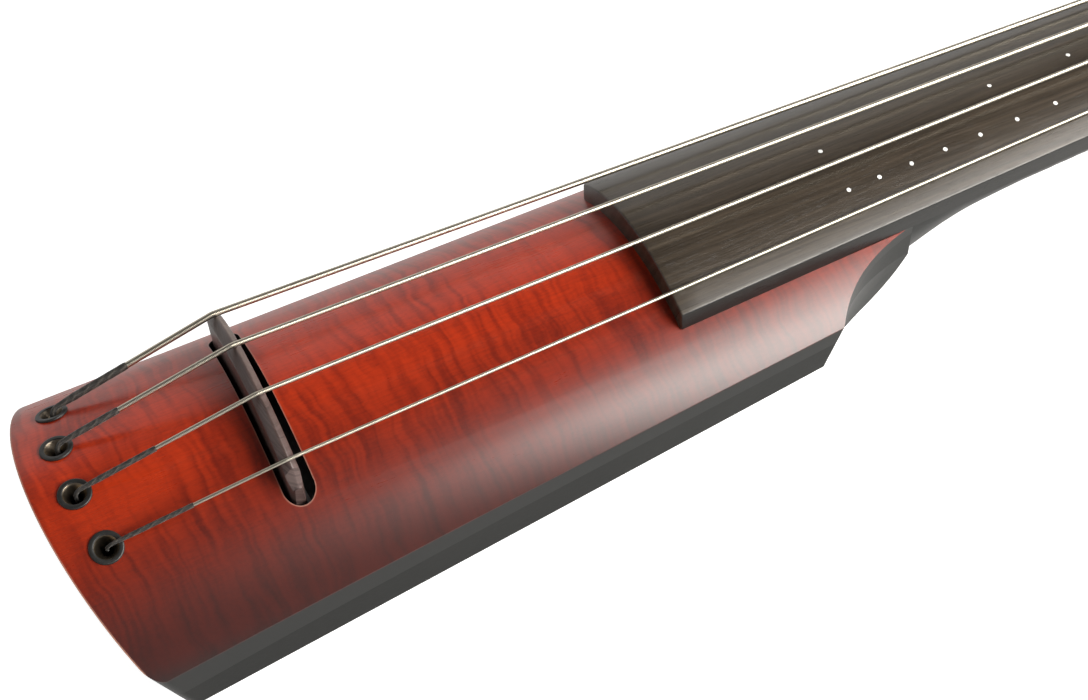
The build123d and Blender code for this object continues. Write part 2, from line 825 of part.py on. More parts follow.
with BuildPart() as bridge:
    with BuildSketch(Plane.YZ.offset(blade_x - blade_thickness / 2)):
        with BuildLine():
            left = (-blade_crest_half, crest_height(-blade_crest_half))
            right = (blade_crest_half, crest_height(blade_crest_half))
            ThreePointArc(left, (0, crest_height(0)), right)
            Polyline(
                right,
                (blade_wide_half, blade_wide_z),
                (blade_low_half, blade_bottom),
                (-blade_low_half, blade_bottom),
                (-blade_wide_half, blade_wide_z),
                left,
            )
        make_face()
    extrude(amount=blade_thickness)
    crest_edges = bridge.edges().filter_by(GeomType.CIRCLE).sort_by(Axis.X)
    chamfer(crest_edges[0], length=2.6, length2=1.7)
    chamfer(crest_edges[-1], length=1.5, length2=2.2)
    for name in string_names:
        add(string_solid(name, grow=0.12).part, mode=Mode.SUBTRACT)
    with BuildSketch(Plane.XY.offset(blade_bottom)):
        with Locations((blade_x, 0)):
            Rectangle(pickup_width + 0.2, pickup_length + 2)
    extrude(amount=pickup_height + 0.1, mode=Mode.SUBTRACT)
finish(bridge, "bridge")

with BuildPart() as pickup_bar:  # piezo strip under the blade
    with BuildSketch(Plane.XY.offset(blade_bottom)):
        with Locations((blade_x, 0)):
            Rectangle(pickup_width, pickup_length)
    extrude(amount=pickup_height)
finish(pickup_bar, "pickup_bar")

with BuildPart() as bridge_foot:  # bar that carries the blade and rides the lift screws
    with BuildSketch(Plane.XY.offset(foot_bottom)):
        with Locations((slot_x, 0)):
            SlotOverall(2 * blade_low_half + 2, slot_width - 2 * channel_wall - 0.6, rotation=90)
    extrude(amount=foot_height)
    with BuildSketch(Plane.XY.offset(foot_bottom)):
        with Locations(*lift_places):
            Circle(lift_pin_radius + run_fit)
    extrude(amount=lift_pin_reach + 0.3, mode=Mode.SUBTRACT)
finish(bridge_foot, "bridge_foot")

with BuildPart() as bridge_channel:  # guide fixed to the floor of the slot
    with BuildSketch(Plane.XY.offset(slot_floor)):
        with Locations((slot_x, 0)):
            SlotOverall(2 * slot_half - 0.6, slot_width - 0.4, rotation=90)
    extrude(amount=channel_height)
    with BuildSketch(Plane.XY.offset(slot_floor + channel_floor)):
        with Locations((slot_x, 0)):
            Rectangle(slot_width - 2 * channel_wall - 0.4, 2 * slot_half + 4)
    extrude(amount=channel_height, mode=Mode.SUBTRACT)
    with BuildSketch(Plane.XY.offset(slot_floor)):
        with Locations(*lift_places):
            Circle(lift_screw_radius + run_fit)
    extrude(amount=channel_floor, mode=Mode.SUBTRACT)
finish(bridge_channel, "bridge_channel")

for label, (x, y) in zip(("bass", "treble"), lift_places):
    with BuildPart() as lift_screw:
        with BuildSketch(Plane.XY.offset(lift_screw_low)):
            with Locations((x, y)):
                Circle(lift_screw_radius)
        extrude(amount=foot_bottom - 0.05 - lift_screw_low)
        with BuildSketch(Plane.XY.offset(foot_bottom - 1)):
            with Locations((x, y)):
                Circle(lift_pin_radius)
        extrude(amount=lift_pin_reach + 1)
        with BuildSketch(Plane.XY.offset(lift_screw_low)):
            with Locations((x, y)):
                RegularPolygon(1.75, 6)
        extrude(amount=key_depth, mode=Mode.SUBTRACT)
    finish(lift_screw, f"lift_screw_{label}")

# ==== neck bolts ============================================================
bolt_head = 4.5
bolt_length = 28.0
cup_thickness = 1.8
cup_mouth = neck_cup_seat - cup_thickness

with BuildPart() as neck_cups:  # steel cups under the bolt heads
    with BuildSketch(Plane.XY.offset(cup_mouth)):
        with Locations(*neck_bolt_places):
            Circle(neck_cup_radius - 0.2)
            Circle(neck_bolt_radius + 0.1, mode=Mode.SUBTRACT)
    extrude(amount=cup_thickness)
finish(neck_cups, "neck_cups")

with BuildPart() as neck_bolts:
    with BuildSketch(Plane.XY.offset(cup_mouth)):
        with Locations(*neck_bolt_places):
            Circle(neck_bolt_radius)
    extrude(amount=bolt_length)
    with BuildSketch(Plane.XY.offset(cup_mouth - bolt_head)):
        with Locations(*neck_bolt_places):
            Circle(5.2)
    extrude(amount=bolt_head)
    with BuildSketch(Plane.XY.offset(cup_mouth - bolt_head)):
        with Locations(*neck_bolt_places):
            RegularPolygon(2.9, 6)
    extrude(amount=2.6, mode=Mode.SUBTRACT)
finish(neck_bolts, "neck_bolts")

# ==== controls ==============================================================
plate_gap = 0.2
screw_head = 1.6
pot_radius = 8.0
pot_height = 8.5
plate_low = recess_depth - plate_thickness
knob_places = {"volume": (volume_x, control_y), "tone": (tone_x, control_y)}
bush_radius = 3.5
shaft_radius = 3.0
knob_low = 2.0
knob_high = plate_low - 2.4
switch_bush = 3.0

with BuildPart() as control_plate:
    with BuildSketch(Plane.XY.offset(plate_low)):
        with Locations(control_mid):
            RectangleRounded(control_span[0] - 2 * plate_gap, control_span[1] - 2 * plate_gap, 4.8)
        with Locations(*knob_places.values()):
            Circle(bush_radius, mode=Mode.SUBTRACT)
        with Locations((switch_x, control_y)):
            Circle(switch_bush, mode=Mode.SUBTRACT)
        with Locations(*control_screws_at):
            Circle(control_screw_radius, mode=Mode.SUBTRACT)
    extrude(amount=plate_thickness)
finish(control_plate, "control_plate")

with BuildPart() as control_screws:
    with BuildSketch(Plane.XY.offset(plate_low)):
        with Locations(*control_screws_at):
            Circle(control_screw_radius)
    extrude(amount=control_screw_length)
    with BuildSketch(Plane.XY.offset(plate_low - screw_head)):
        with Locations(*control_screws_at):
            Circle(2.6)
    extrude(amount=screw_head)
    with BuildSketch(Plane.XY.offset(plate_low - screw_head)):
        with Locations(*control_screws_at):
            Rectangle(3.6, 0.7)
            Rectangle(0.7, 3.6)
    extrude(amount=0.9, mode=Mode.SUBTRACT)
finish(control_screws, "control_screws")

for label, (x, y) in knob_places.items():
    with BuildPart() as pot:  # potentiometer can and its bush
        with BuildSketch(Plane.XY.offset(recess_depth)):
            with Locations((x, y)):
                Circle(pot_radius)
        extrude(amount=pot_height)
        with BuildSketch(Plane.XY.offset(plate_low - 1.5)):
            with Locations((x, y)):
                Circle(bush_radius)
        extrude(amount=plate_thickness + 1.5)
        with BuildSketch(Plane.XY.offset(plate_low - 2.2)):
            with Locations((x, y)):
                Circle(shaft_radius + run_fit)
        extrude(amount=plate_thickness + 5.2, mode=Mode.SUBTRACT)
        for tag in (-5.0, 0.0, 5.0):
            with BuildSketch(Plane.XY.offset(recess_depth + 3)):
                with Locations((x + tag, y + pot_radius + 0.6)):
                    Rectangle(1.6, 2.6)
            extrude(amount=0.6)
    finish(pot, f"{label}_pot")
    with BuildPart() as knob:  # knob with the pot's shaft
        with BuildSketch(Plane.XY.offset(knob_low)):
            with Locations((x, y)):
                Circle(knob_radius)
        extrude(amount=knob_high - knob_low)
        rim_edge = knob.edges().filter_by(GeomType.CIRCLE).group_by(Axis.Z)[0]
        fillet(rim_edge, radius=1.2)
        with BuildSketch(Plane.XY.offset(knob_low)):  # fluting
            with Locations((x, y)):
                with PolarLocations(knob_radius + 0.25, 24):
                    Circle(0.7)
        extrude(amount=knob_high - knob_low - 2.5, mode=Mode.SUBTRACT)
        with BuildSketch(Plane.XY.offset(knob_low)):  # pointer groove
            with Locations((x - knob_radius / 2 - 1, y)):
                Rectangle(knob_radius - 3, 1.0)
        extrude(amount=0.6, mode=Mode.SUBTRACT)
        with BuildSketch(Plane.XY.offset(knob_high)):
            with Locations((x, y)):
                Circle(shaft_radius)
        extrude(amount=recess_depth + 2.5 - knob_high)
    finish(knob, f"{label}_knob")

switch_pivot_z = plate_low + 1.0
with BuildPart() as mode_switch:
    with BuildSketch(Plane.XY.offset(recess_depth)):
        with Locations((switch_x, control_y)):
            Rectangle(8.0, 13.0)
    extrude(amount=10.0)
    with BuildSketch(Plane.XY.offset(plate_low - 2.5)):
        with Locations((switch_x, control_y)):
            Circle(switch_bush)
    extrude(amount=plate_thickness + 2.5)
    with BuildSketch(Plane.XZ.offset(-control_y)):  # flared mouth, lever pocket
        with BuildLine():
            Polyline(
                (switch_x, plate_low - 2.6),
                (switch_x + 2.3, plate_low - 2.6),
                (switch_x + 1.6, switch_pivot_z - 1.2),
                (switch_x + 1.9, switch_pivot_z),
                (switch_x + 2.6, recess_depth + 3.0),
                (switch_x, recess_depth + 3.0),
                close=True,
            )
        make_face()
    revolve(axis=Axis((switch_x, control_y, 0), (0, 0, 1)), mode=Mode.SUBTRACT)
finish(mode_switch, "mode_switch")

with BuildPart() as switch_lever:
    with BuildSketch(Plane.XZ.offset(-control_y)):
        with BuildLine():
            Polyline(
                (switch_x, 2.4),
                (switch_x + 1.2, 2.4),
                (switch_x + 1.5, 3.2),
                (switch_x + 0.9, switch_pivot_z - 1.0),
                (switch_x + 1.2, switch_pivot_z),
                (switch_x + 0.9, switch_pivot_z + 1.2),
                (switch_x + 0.9, recess_depth + 2.2),
                (switch_x, recess_depth + 2.2),
                close=True,
            )
        make_face()
    revolve(axis=Axis((switch_x, control_y, 0), (0, 0, 1)))
finish(switch_lever, "switch_lever")

with BuildPart() as circuit_board:
    board_z = 34.0
    with BuildSketch(Plane.XY.offset(board_z)):
        with Locations(control_mid):
            Rectangle(control_span[0] - 14, control_span[1] - 14)
    extrude(amount=1.6)
    for dx, dy, sx, sy, sz in ((-18, 2, 12, 8, 7), (-2, -3, 8, 6, 2.2), (12, 3, 7, 7, 9), (20, -4, 6, 4, 3)):
        with BuildSketch(Plane.XY.offset(board_z + 1.6)):
            with Locations((control_mid[0] + dx, control_mid[1] + dy)):
                Rectangle(sx, sy)
        extrude(amount=sz)
finish(circuit_board, "circuit_board")

# ==== output jack ===========================================================
wall_y = side_tail[1] + side_slope * (jack_x - side_tail[0])
jack_mouth = wall_y - 4.5
jack_length = 28.0
with BuildPart() as output_jack:
    with BuildSketch(Plane.XZ.offset(-jack_mouth)):
        with Locations((jack_x, jack_z)):
            Circle(jack_barrel)
            Circle(jack_bore, mode=Mode.SUBTRACT)
    extrude(amount=jack_length)
    with BuildSketch(Plane.XZ.offset(jack_length - jack_mouth)):
        with Locations((jack_x, jack_z)):
            Circle(jack_barrel)
    extrude(amount=1.5)
finish(output_jack, "output_jack")

with BuildPart() as jack_nut:
    with BuildSketch(Plane.XZ.offset(-(wall_y - 0.6))):
        with Locations((jack_x, jack_z)):
            Circle(jack_barrel)
            Circle(jack_bore, mode=Mode.SUBTRACT)
    extrude(amount=3.9)
finish(jack_nut, "jack_nut")

# ==== stand plate ===========================================================
with BuildPart() as stand_plate:
    with BuildSketch(Plane.XY):
        RectangleRounded(stand_plate_size[0] - 0.2, stand_plate_size[1] - 0.2, stand_plate_round - 0.1)
    extrude(amount=stand_plate_size[2] - 0.1)
    with BuildSketch(Plane.XY):
        Circle(stand_boss_radius)
    extrude(amount=stand_plate_size[2] + stand_thread_depth - 1)
    with BuildSketch(Plane.XY):
        Circle(stand_thread_radius)
    extrude(amount=stand_thread_depth, mode=Mode.SUBTRACT)
    with Locations(*[Location((x, y, 0), (180, 0, 0)) for x, y in stand_screws_at]):
        CounterSinkHole(radius=2.0, counter_sink_radius=4.0, depth=10, counter_sink_angle=90)
finish(stand_plate, "stand_plate")

with BuildPart() as stand_screws:
    for x, y in stand_screws_at:
        with BuildSketch(Plane.XZ.offset(-y)):
            with BuildLine():
                Polyline(
                    (x, 0.2),
                    (x + 3.8, 0.2),
                    (x + stand_screw_radius, 2.0),
                    (x + stand_screw_radius, stand_screw_length - 2),
                    (x, stand_screw_length),
                    close=True,
                )
            make_face()
        revolve(axis=Axis((x, y, 0), (0, 0, 1)))
    with BuildSketch(Plane.XY):
        with Locations(*stand_screws_at):
            RegularPolygon(1.6, 6)
    extrude(amount=1.6, mode=Mode.SUBTRACT)
finish(stand_screws, "stand_screws")

# ==== tuners ================================================================
gear_pitch_radius = gear_module * gear_teeth / 2
worm_lead = pi * gear_module
worm_turns = 4
plate_z = -head_thickness - plate_back
worm_offset = gear_pitch_radius + worm_pitch_radius
gear_tip = gear_pitch_radius + 0.9
gear_root = gear_pitch_radius - 1.25
tooth_tip = 0.7
tooth_root = 1.5
worm_core = worm_pitch_radius - 1.15
worm_tip = worm_pitch_radius + 0.9
worm_z = plate_z - worm_tip - 0.4
gear_high = worm_z + gear_width / 2
ear_inner = 7.9
ear_thickness = 3.0
ear_half = 4.5
ear_low = worm_z - 4.6
post_top = 25.0
rivet_radius = 5.2
bush_flange = 2.4
key_reach = 24.0  # from the post to the start of the key

with BuildSketch() as gear_tooth:  # the tooth on +X
    with BuildLine():
        Polyline(
            (gear_root - 0.4, -tooth_root / 2),
            (gear_root, -tooth_root / 2),
            (gear_tip, -tooth_tip / 2),
            (gear_tip, tooth_tip / 2),
            (gear_root, tooth_root / 2),
            (gear_root - 0.4, tooth_root / 2),
            close=True,
        )
    make_face()

with BuildPart() as gear_blank:  # worm wheel about the origin
    with BuildSketch(Plane.XY.offset(-gear_width / 2)):
        Circle(gear_root)
        with PolarLocations(0, gear_teeth):
            add(gear_tooth.sketch)
        Circle(worm_pitch_radius, mode=Mode.SUBTRACT)
    extrude(amount=gear_width)

with BuildPart() as worm_blank:  # right-handed worm along Z about the origin
    thread_height = worm_lead * worm_turns
    with BuildLine() as thread_path:
        Helix(
            pitch=worm_lead,
            height=thread_height,
            radius=worm_core - 0.05,
            center=(0, 0, -thread_height / 2),
        )
    with BuildSketch(Plane(origin=thread_path.line @ 0, x_dir=(1, 0, 0), z_dir=thread_path.line % 0)):
        with BuildLine():
            Polyline(
                (-0.2, -tooth_root / 2),
                (worm_tip - worm_core, -tooth_tip / 2),
                (worm_tip - worm_core, tooth_tip / 2),
                (-0.2, tooth_root / 2),
                close=True,
            )
        make_face()
    sweep(path=thread_path.line, is_frenet=True)
    with BuildSketch(Plane.XY.offset(-ear_inner + 0.15)):
        Circle(worm_core)
    extrude(amount=2 * ear_inner - 0.3)
    with BuildSketch(Plane.XY.offset(-ear_inner - ear_thickness - 0.4)):
        Circle(worm_shaft_radius)
    extrude(amount=ear_inner + ear_thickness + 0.4 + key_reach + 7)

key_thickness = 5.2

with BuildPart() as key_blank:  # clover key along +Y, flat in XY
    with BuildSketch(Plane.XY.offset(-key_thickness / 2)):
        with Locations((0, key_reach + 3.5)):
            Rectangle(9.0, 7.0)
        with Locations((0, key_reach + 14.0)):
            Ellipse(7.5, 10.5)
        for side in (1, -1):
            with Locations(Location((side * 7.0, key_reach + 12.5), side * -28)):
                Ellipse(5.8, 8.0)
    extrude(amount=key_thickness)
    fillet(key_blank.faces().filter_by(Axis.Z).edges(), radius=1.3)
    with BuildSketch(Plane.XZ.offset(-(key_reach - 1))):
        Circle(worm_shaft_radius)
    extrude(amount=-9.0, mode=Mode.SUBTRACT)

for name in string_names:
    x, y, side = tuner_place(name)

    with BuildPart() as tuner_plate:  # plate with the worm shaft's two ears
        with BuildSketch(head_plane.offset(plate_z)):
            with Locations((x + plate_shift, y)):
                RectangleRounded(38.0, 26.0, 3.0)
            with Locations((x, y)):
                Circle(post_shaft + run_fit, mode=Mode.SUBTRACT)
            with Locations(*tuner_plate_screws(name)):
                Circle(tuner_screw_radius, mode=Mode.SUBTRACT)
        extrude(amount=plate_back)
        with BuildSketch(head_plane.offset(ear_low)):
            for ear in (1, -1):
                with Locations((x + worm_offset, y + ear * (ear_inner + ear_thickness / 2))):
                    Rectangle(2 * ear_half, ear_thickness)
        extrude(amount=plate_z - ear_low)
        worm_origin = on_head(x + worm_offset, y, worm_z)
        with BuildSketch(Plane(origin=worm_origin, x_dir=head_plane.x_dir, z_dir=(0, 1, 0))):
            Circle(worm_shaft_radius + run_fit)
        extrude(amount=20, both=True, mode=Mode.SUBTRACT)
    finish(tuner_plate, f"tuner_plate_{name}")

    with BuildPart() as post:  # string post, its shaft and the wheel's seat
        post_origin = on_head(x, y, 0)
        with BuildSketch(Plane(origin=post_origin, x_dir=head_plane.x_dir, z_dir=(0, -1, 0))):
            with BuildLine():
                Polyline(
                    (0, gear_high - gear_width - 1.6),
                    (rivet_radius - 0.8, gear_high - gear_width - 1.6),
                    (rivet_radius, gear_high - gear_width - 0.8),
                    (rivet_radius, gear_high - gear_width),
                    (worm_pitch_radius, gear_high - gear_width),
                    (worm_pitch_radius, gear_high),
                    (post_shaft, gear_high),
                    (post_shaft, bush_flange + 0.3),
                    (post_radius, bush_flange + 0.3),
                    (post_radius, 5.0),
                    (post_waist, 6.2),
                    (post_waist, 18.0),
                    (post_radius, 19.6),
                    (post_radius, post_top - 2.0),
                    (post_radius - 2.0, post_top),
                    (0, post_top),
                    close=True,
                )
            make_face()
        revolve(axis=Axis(post_origin, head_plane.z_dir))
        with BuildSketch(Plane(origin=on_head(x, y, 16.3), x_dir=head_plane.x_dir, z_dir=(0, 1, 0))):
            Circle(1.6)
        extrude(amount=10, both=True, mode=Mode.SUBTRACT)
    finish(post, f"tuner_post_{name}")

    with BuildPart() as gear:
        add(gear_blank.part.moved(head_plane.offset(worm_z).location * Location((x, y, 0))))
    finish(gear, f"tuner_gear_{name}")

    outward = Plane(origin=worm_origin, x_dir=head_plane.x_dir, z_dir=(0, side, 0)).location
    with BuildPart() as worm:
        add(worm_blank.part.moved(outward))
    finish(worm, f"tuner_worm_{name}")

    key_turn = Plane(origin=worm_origin, x_dir=head_plane.x_dir * side, z_dir=head_plane.z_dir).location
    with BuildPart() as key:
        add(key_blank.part.moved(key_turn))
    finish(key, f"tuner_key_{name}")

with BuildPart() as bushings:
    for name in string_names:
        x, y, side = tuner_place(name)
        with BuildSketch(head_plane.offset(-head_thickness)):
            with Locations((x, y)):
                Circle(post_bore)
                Circle(post_shaft + run_fit, mode=Mode.SUBTRACT)
        extrude(amount=head_thickness)
        with BuildSketch(head_plane):
            with Locations((x, y)):
                Circle(10.0)
                Circle(post_shaft + run_fit, mode=Mode.SUBTRACT)
        extrude(amount=bush_flange)
finish(bushings, "post_bushings")

with BuildPart() as tuner_screws:
    for name in string_names:
        with BuildSketch(head_plane.offset(plate_z)):
            with Locations(*tuner_plate_screws(name)):
                Circle(tuner_screw_radius)
        extrude(amount=10.0)
        with BuildSketch(head_plane.offset(plate_z)):
            with Locations(*tuner_plate_screws(name)):
                Circle(2.4)
        extrude(amount=-1.3)
        with BuildSketch(head_plane.offset(plate_z - 1.3)):
            with Locations(*tuner_plate_screws(name)):
                Rectangle(3.2, 0.6)
                Rectangle(0.6, 3.2)
        extrude(amount=0.7, mode=Mode.SUBTRACT)
finish(tuner_screws, "tuner_screws")
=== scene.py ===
import math
import random

import bpy
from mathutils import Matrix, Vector


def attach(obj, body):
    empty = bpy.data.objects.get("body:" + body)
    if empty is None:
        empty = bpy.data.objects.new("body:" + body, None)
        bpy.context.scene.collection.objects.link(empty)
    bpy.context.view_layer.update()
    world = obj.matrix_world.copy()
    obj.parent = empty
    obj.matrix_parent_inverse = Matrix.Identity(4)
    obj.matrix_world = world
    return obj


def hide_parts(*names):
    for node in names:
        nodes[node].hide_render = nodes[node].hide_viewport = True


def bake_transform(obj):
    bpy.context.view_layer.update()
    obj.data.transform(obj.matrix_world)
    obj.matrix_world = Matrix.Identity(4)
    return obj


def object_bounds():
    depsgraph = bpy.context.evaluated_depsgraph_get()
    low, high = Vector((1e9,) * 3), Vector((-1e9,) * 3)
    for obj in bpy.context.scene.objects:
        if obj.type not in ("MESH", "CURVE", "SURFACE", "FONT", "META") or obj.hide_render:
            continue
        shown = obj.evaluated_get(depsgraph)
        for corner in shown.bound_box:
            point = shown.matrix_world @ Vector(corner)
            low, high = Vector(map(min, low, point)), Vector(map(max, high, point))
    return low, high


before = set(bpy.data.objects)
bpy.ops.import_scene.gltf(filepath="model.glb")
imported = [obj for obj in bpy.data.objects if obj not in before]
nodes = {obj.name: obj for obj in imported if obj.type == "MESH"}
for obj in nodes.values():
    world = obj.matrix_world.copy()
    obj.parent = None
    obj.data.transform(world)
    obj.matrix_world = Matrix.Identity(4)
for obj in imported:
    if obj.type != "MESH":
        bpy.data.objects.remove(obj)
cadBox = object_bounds()
mm = 0.001
print("frame loaded,", len(nodes), "nodes")

# the studio: what the camera and the lights do
studio = {
    "cameraPlace": (-0.196827, -0.438861, 0.612250),
    "cameraTurn": (39.8447, 2.0252, -26.8560),
    "lens": 57.557,
    "clip": (0.01, 100.0),
    "floorGap": 0.0004,
    "floorWidth": 60.0,
    "floorColour": (0.60, 0.60, 0.60),
    "floorGlow": 0.16,
    "floorSeen": 0.90,
    "floorRoughness": 0.9,
    "floorShine": 0.1,
    "horizonLight": 0.46,
    "zenithLight": 0.10,
    "zenithFrom": 0.8,  # how steeply up the air has its overhead light
    "skySeen": 1.05,
    "boxColour": (1.0, 0.975, 0.925),
}

softboxes = {  # place, what it points at, width, height, radiance
    "keyBox": ((1.12, -0.92, 0.95), (0.08, -0.05, 0.06), 1.60, 1.12, 9.6),
    "lowBackdrop": ((0.4, 2.6, 0.34), (0.4, 0.0, 0.34), 7.0, 0.66, 0.66),
    "highBackdrop": ((0.3, 1.9, 1.25), (0.0, 0.0, 0.08), 3.4, 1.1, 0.74),
    "edgeBox": ((0.80, -1.30, 0.90), (0.05, -0.05, 0.06), 0.80, 0.60, 9.0),
    "tailFill": ((-1.9, 0.5, 1.0), (-0.1, 0.0, 0.06), 1.4, 0.9, 1.0),
}


def pointAt(obj, target):
    away = obj.location - Vector(target)
    obj.rotation_mode = "QUATERNION"
    obj.rotation_quaternion = away.to_track_quat("Z", "Y")


def buildCamera(scene):
    lens = bpy.data.cameras.new("camera")
    lens.lens = studio["lens"]
    lens.clip_start, lens.clip_end = studio["clip"]
    camera = bpy.data.objects.new("camera", lens)
    camera.location = studio["cameraPlace"]
    camera.rotation_euler = [math.radians(a) for a in studio["cameraTurn"]]
    scene.collection.objects.link(camera)
    scene.camera = camera


def buildLights(scene):
    for name, (place, target, width, height, radiance) in softboxes.items():
        light = bpy.data.lights.new(name, "AREA")
        light.shape = "RECTANGLE"
        light.size, light.size_y = width, height
        light.color = studio["boxColour"]
        light.energy = radiance * math.pi * width * height
        box = bpy.data.objects.new(name, light)
        box.location = place
        pointAt(box, target)
        box.visible_camera = False
        scene.collection.objects.link(box)


def buildAir(scene):
    world = bpy.data.worlds.new("studioAir")
    world.use_nodes = True
    scene.world = world
    tree = world.node_tree
    ground = tree.nodes["Background"]
    heading = tree.nodes.new("ShaderNodeTexCoord")
    split = tree.nodes.new("ShaderNodeSeparateXYZ")
    fade = tree.nodes.new("ShaderNodeMapRange")  # paler low down than overhead
    fade.inputs["From Max"].default_value = studio["zenithFrom"]
    fade.inputs["To Min"].default_value = studio["horizonLight"]
    fade.inputs["To Max"].default_value = studio["zenithLight"]
    path = tree.nodes.new("ShaderNodeLightPath")
    choice = tree.nodes.new("ShaderNodeMix")  # the air lights less than it shows
    choice.inputs[3].default_value = studio["skySeen"]
    tree.links.new(heading.outputs["Generated"], split.inputs[0])
    tree.links.new(split.outputs[2], fade.inputs[0])
    tree.links.new(fade.outputs[0], choice.inputs[2])
    tree.links.new(path.outputs["Is Camera Ray"], choice.inputs[0])
    tree.links.new(choice.outputs[0], ground.inputs["Strength"])
    ground.inputs["Color"].default_value = (1.0, 1.0, 1.0, 1.0)


def buildFloor(scene):
    half = studio["floorWidth"] / 2
    low = cadBox[0].z - studio["floorGap"]
    mesh = bpy.data.meshes.new("floor")
    corners = [(-half, -half, low), (half, -half, low), (half, half, low), (-half, half, low)]
    mesh.from_pydata(corners, [], [(0, 1, 2, 3)])
    floor = bpy.data.objects.new("floor", mesh)
    scene.collection.objects.link(floor)
    paint = bpy.data.materials.new("paleFloor")
    paint.use_nodes = True
    shader = paint.node_tree.nodes["Principled BSDF"]
    shader.inputs["Base Color"].default_value = (*studio["floorColour"], 1.0)
    shader.inputs["Roughness"].default_value = studio["floorRoughness"]
    shader.inputs["Specular IOR Level"].default_value = studio["floorShine"]
    shader.inputs["Emission Strength"].default_value = 1.0
    look = paint.node_tree.nodes.new("ShaderNodeLightPath")
    glow = paint.node_tree.nodes.new("ShaderNodeMix")  # the floor lights less than it shows
    glow.data_type = "RGBA"
    glow.inputs[6].default_value = (*[studio["floorGlow"]] * 3, 1.0)
    glow.inputs[7].default_value = (*[studio["floorSeen"]] * 3, 1.0)
    paint.node_tree.links.new(look.outputs["Is Camera Ray"], glow.inputs[0])
    paint.node_tree.links.new(glow.outputs[2], shader.inputs["Emission Color"])
    floor.data.materials.append(paint)


def buildStudio():
    scene = bpy.context.scene
    scene.view_settings.view_transform = "Standard"
    buildCamera(scene)
    buildLights(scene)
    buildAir(scene)
    buildFloor(scene)


buildStudio()
print("studio ready")


# a shader's output, usable in sums
class Signal:
    def __init__(self, finish, socket):
        self.finish, self.socket = finish, socket

    def math(self, operation, *others, flip=False):
        parts = [self, *others]
        if flip:
            parts.reverse()
        return self.finish.node("ShaderNodeMath", {"operation": operation}, dict(enumerate(parts)))

    def __add__(self, other):
        return self.math("ADD", other)

    def __radd__(self, other):
        return self.math("ADD", other, flip=True)

    def __sub__(self, other):
        return self.math("SUBTRACT", other)

    def __rsub__(self, other):
        return self.math("SUBTRACT", other, flip=True)

    def __mul__(self, other):
        return self.math("MULTIPLY", other)

    def __rmul__(self, other):
        return self.math("MULTIPLY", other, flip=True)

    def __truediv__(self, other):
        return self.math("DIVIDE", other)

    def __pow__(self, other):
        return self.math("POWER", other)

    def __abs__(self):
        return self.math("ABSOLUTE")

    def above(self, low, high):  # 0 under low, 1 over high, smooth between
        return self.finish.node(
            "ShaderNodeMapRange", {"interpolation_type": "SMOOTHSTEP"}, {0: self, 1: low, 2: high}
        )


# one material being wired up
class Finish:
    def __init__(self, name, **constants):
        self.material = bpy.data.materials.new(name)
        self.material.use_nodes = True
        self.tree = self.material.node_tree
        self.shader = self.tree.nodes["Principled BSDF"]
        for socket, value in constants.items():
            self.feed(socket, value)

    def plug(self, value, socket):
        if isinstance(value, Signal):
            self.tree.links.new(value.socket, socket)
        elif isinstance(value, (tuple, list)) and len(value) == 3 and socket.type == "RGBA":
            socket.default_value = (*value, 1.0)
        else:
            socket.default_value = value

    def node(self, kind, settings=None, inputs=None, output=0):
        made = self.tree.nodes.new(kind)
        for key, value in (settings or {}).items():
            setattr(made, key, value)
        for key, value in (inputs or {}).items():
            self.plug(value, made.inputs[key])
        return Signal(self, made.outputs[output])

    def feed(self, socket, value):
        self.plug(value, self.shader.inputs[socket.replace("_", " ")])

    def place(self):  # place on the piece, in millimetres, as three numbers
        here = self.node("ShaderNodeTexCoord", output="Object")
        split = self.node("ShaderNodeVectorMath", {"operation": "SCALE"}, {0: here, 3: 1 / mm})
        return [self.node("ShaderNodeSeparateXYZ", inputs={0: split}, output=i) for i in range(3)]

    def noise(self, x, y, z, detail=2.0, rough=0.5, twist=0.0):
        where = self.node("ShaderNodeCombineXYZ", inputs={0: x, 1: y, 2: z})
        wiring = {"Vector": where, "Scale": 1.0, "Detail": detail, "Roughness": rough, "Distortion": twist}
        return self.node("ShaderNodeTexNoise", inputs=wiring)

    def veil(self, along, across, fine, wide, seed, detail, rough=0.5):  # noise over two lengths
        return self.noise(along * fine, across * wide, seed, detail, rough)

    def grit(self, place, scale, detail=2.0, rough=0.5, twist=0.0):  # noise through the whole piece
        scales = scale if isinstance(scale, tuple) else (scale, scale, scale)
        x, y, z = [length * fine for length, fine in zip(place, scales)]
        return self.noise(x, y, z, detail, rough, twist)

    def mix(self, factor, a, b):  # colours: all a at 0, all b at 1
        return self.node("ShaderNodeMix", {"data_type": "RGBA"}, {0: factor, 6: a, 7: b}, output=2)

    def bump(self, height, distance):  # distance in millimetres
        relief = {"Height": height, "Distance": distance * mm, "Strength": 1.0}
        self.feed("Normal", self.node("ShaderNodeBump", inputs=relief))

    def stained(self, pale, dark, share):
        self.feed("Base Color", self.mix(share, pale, dark))


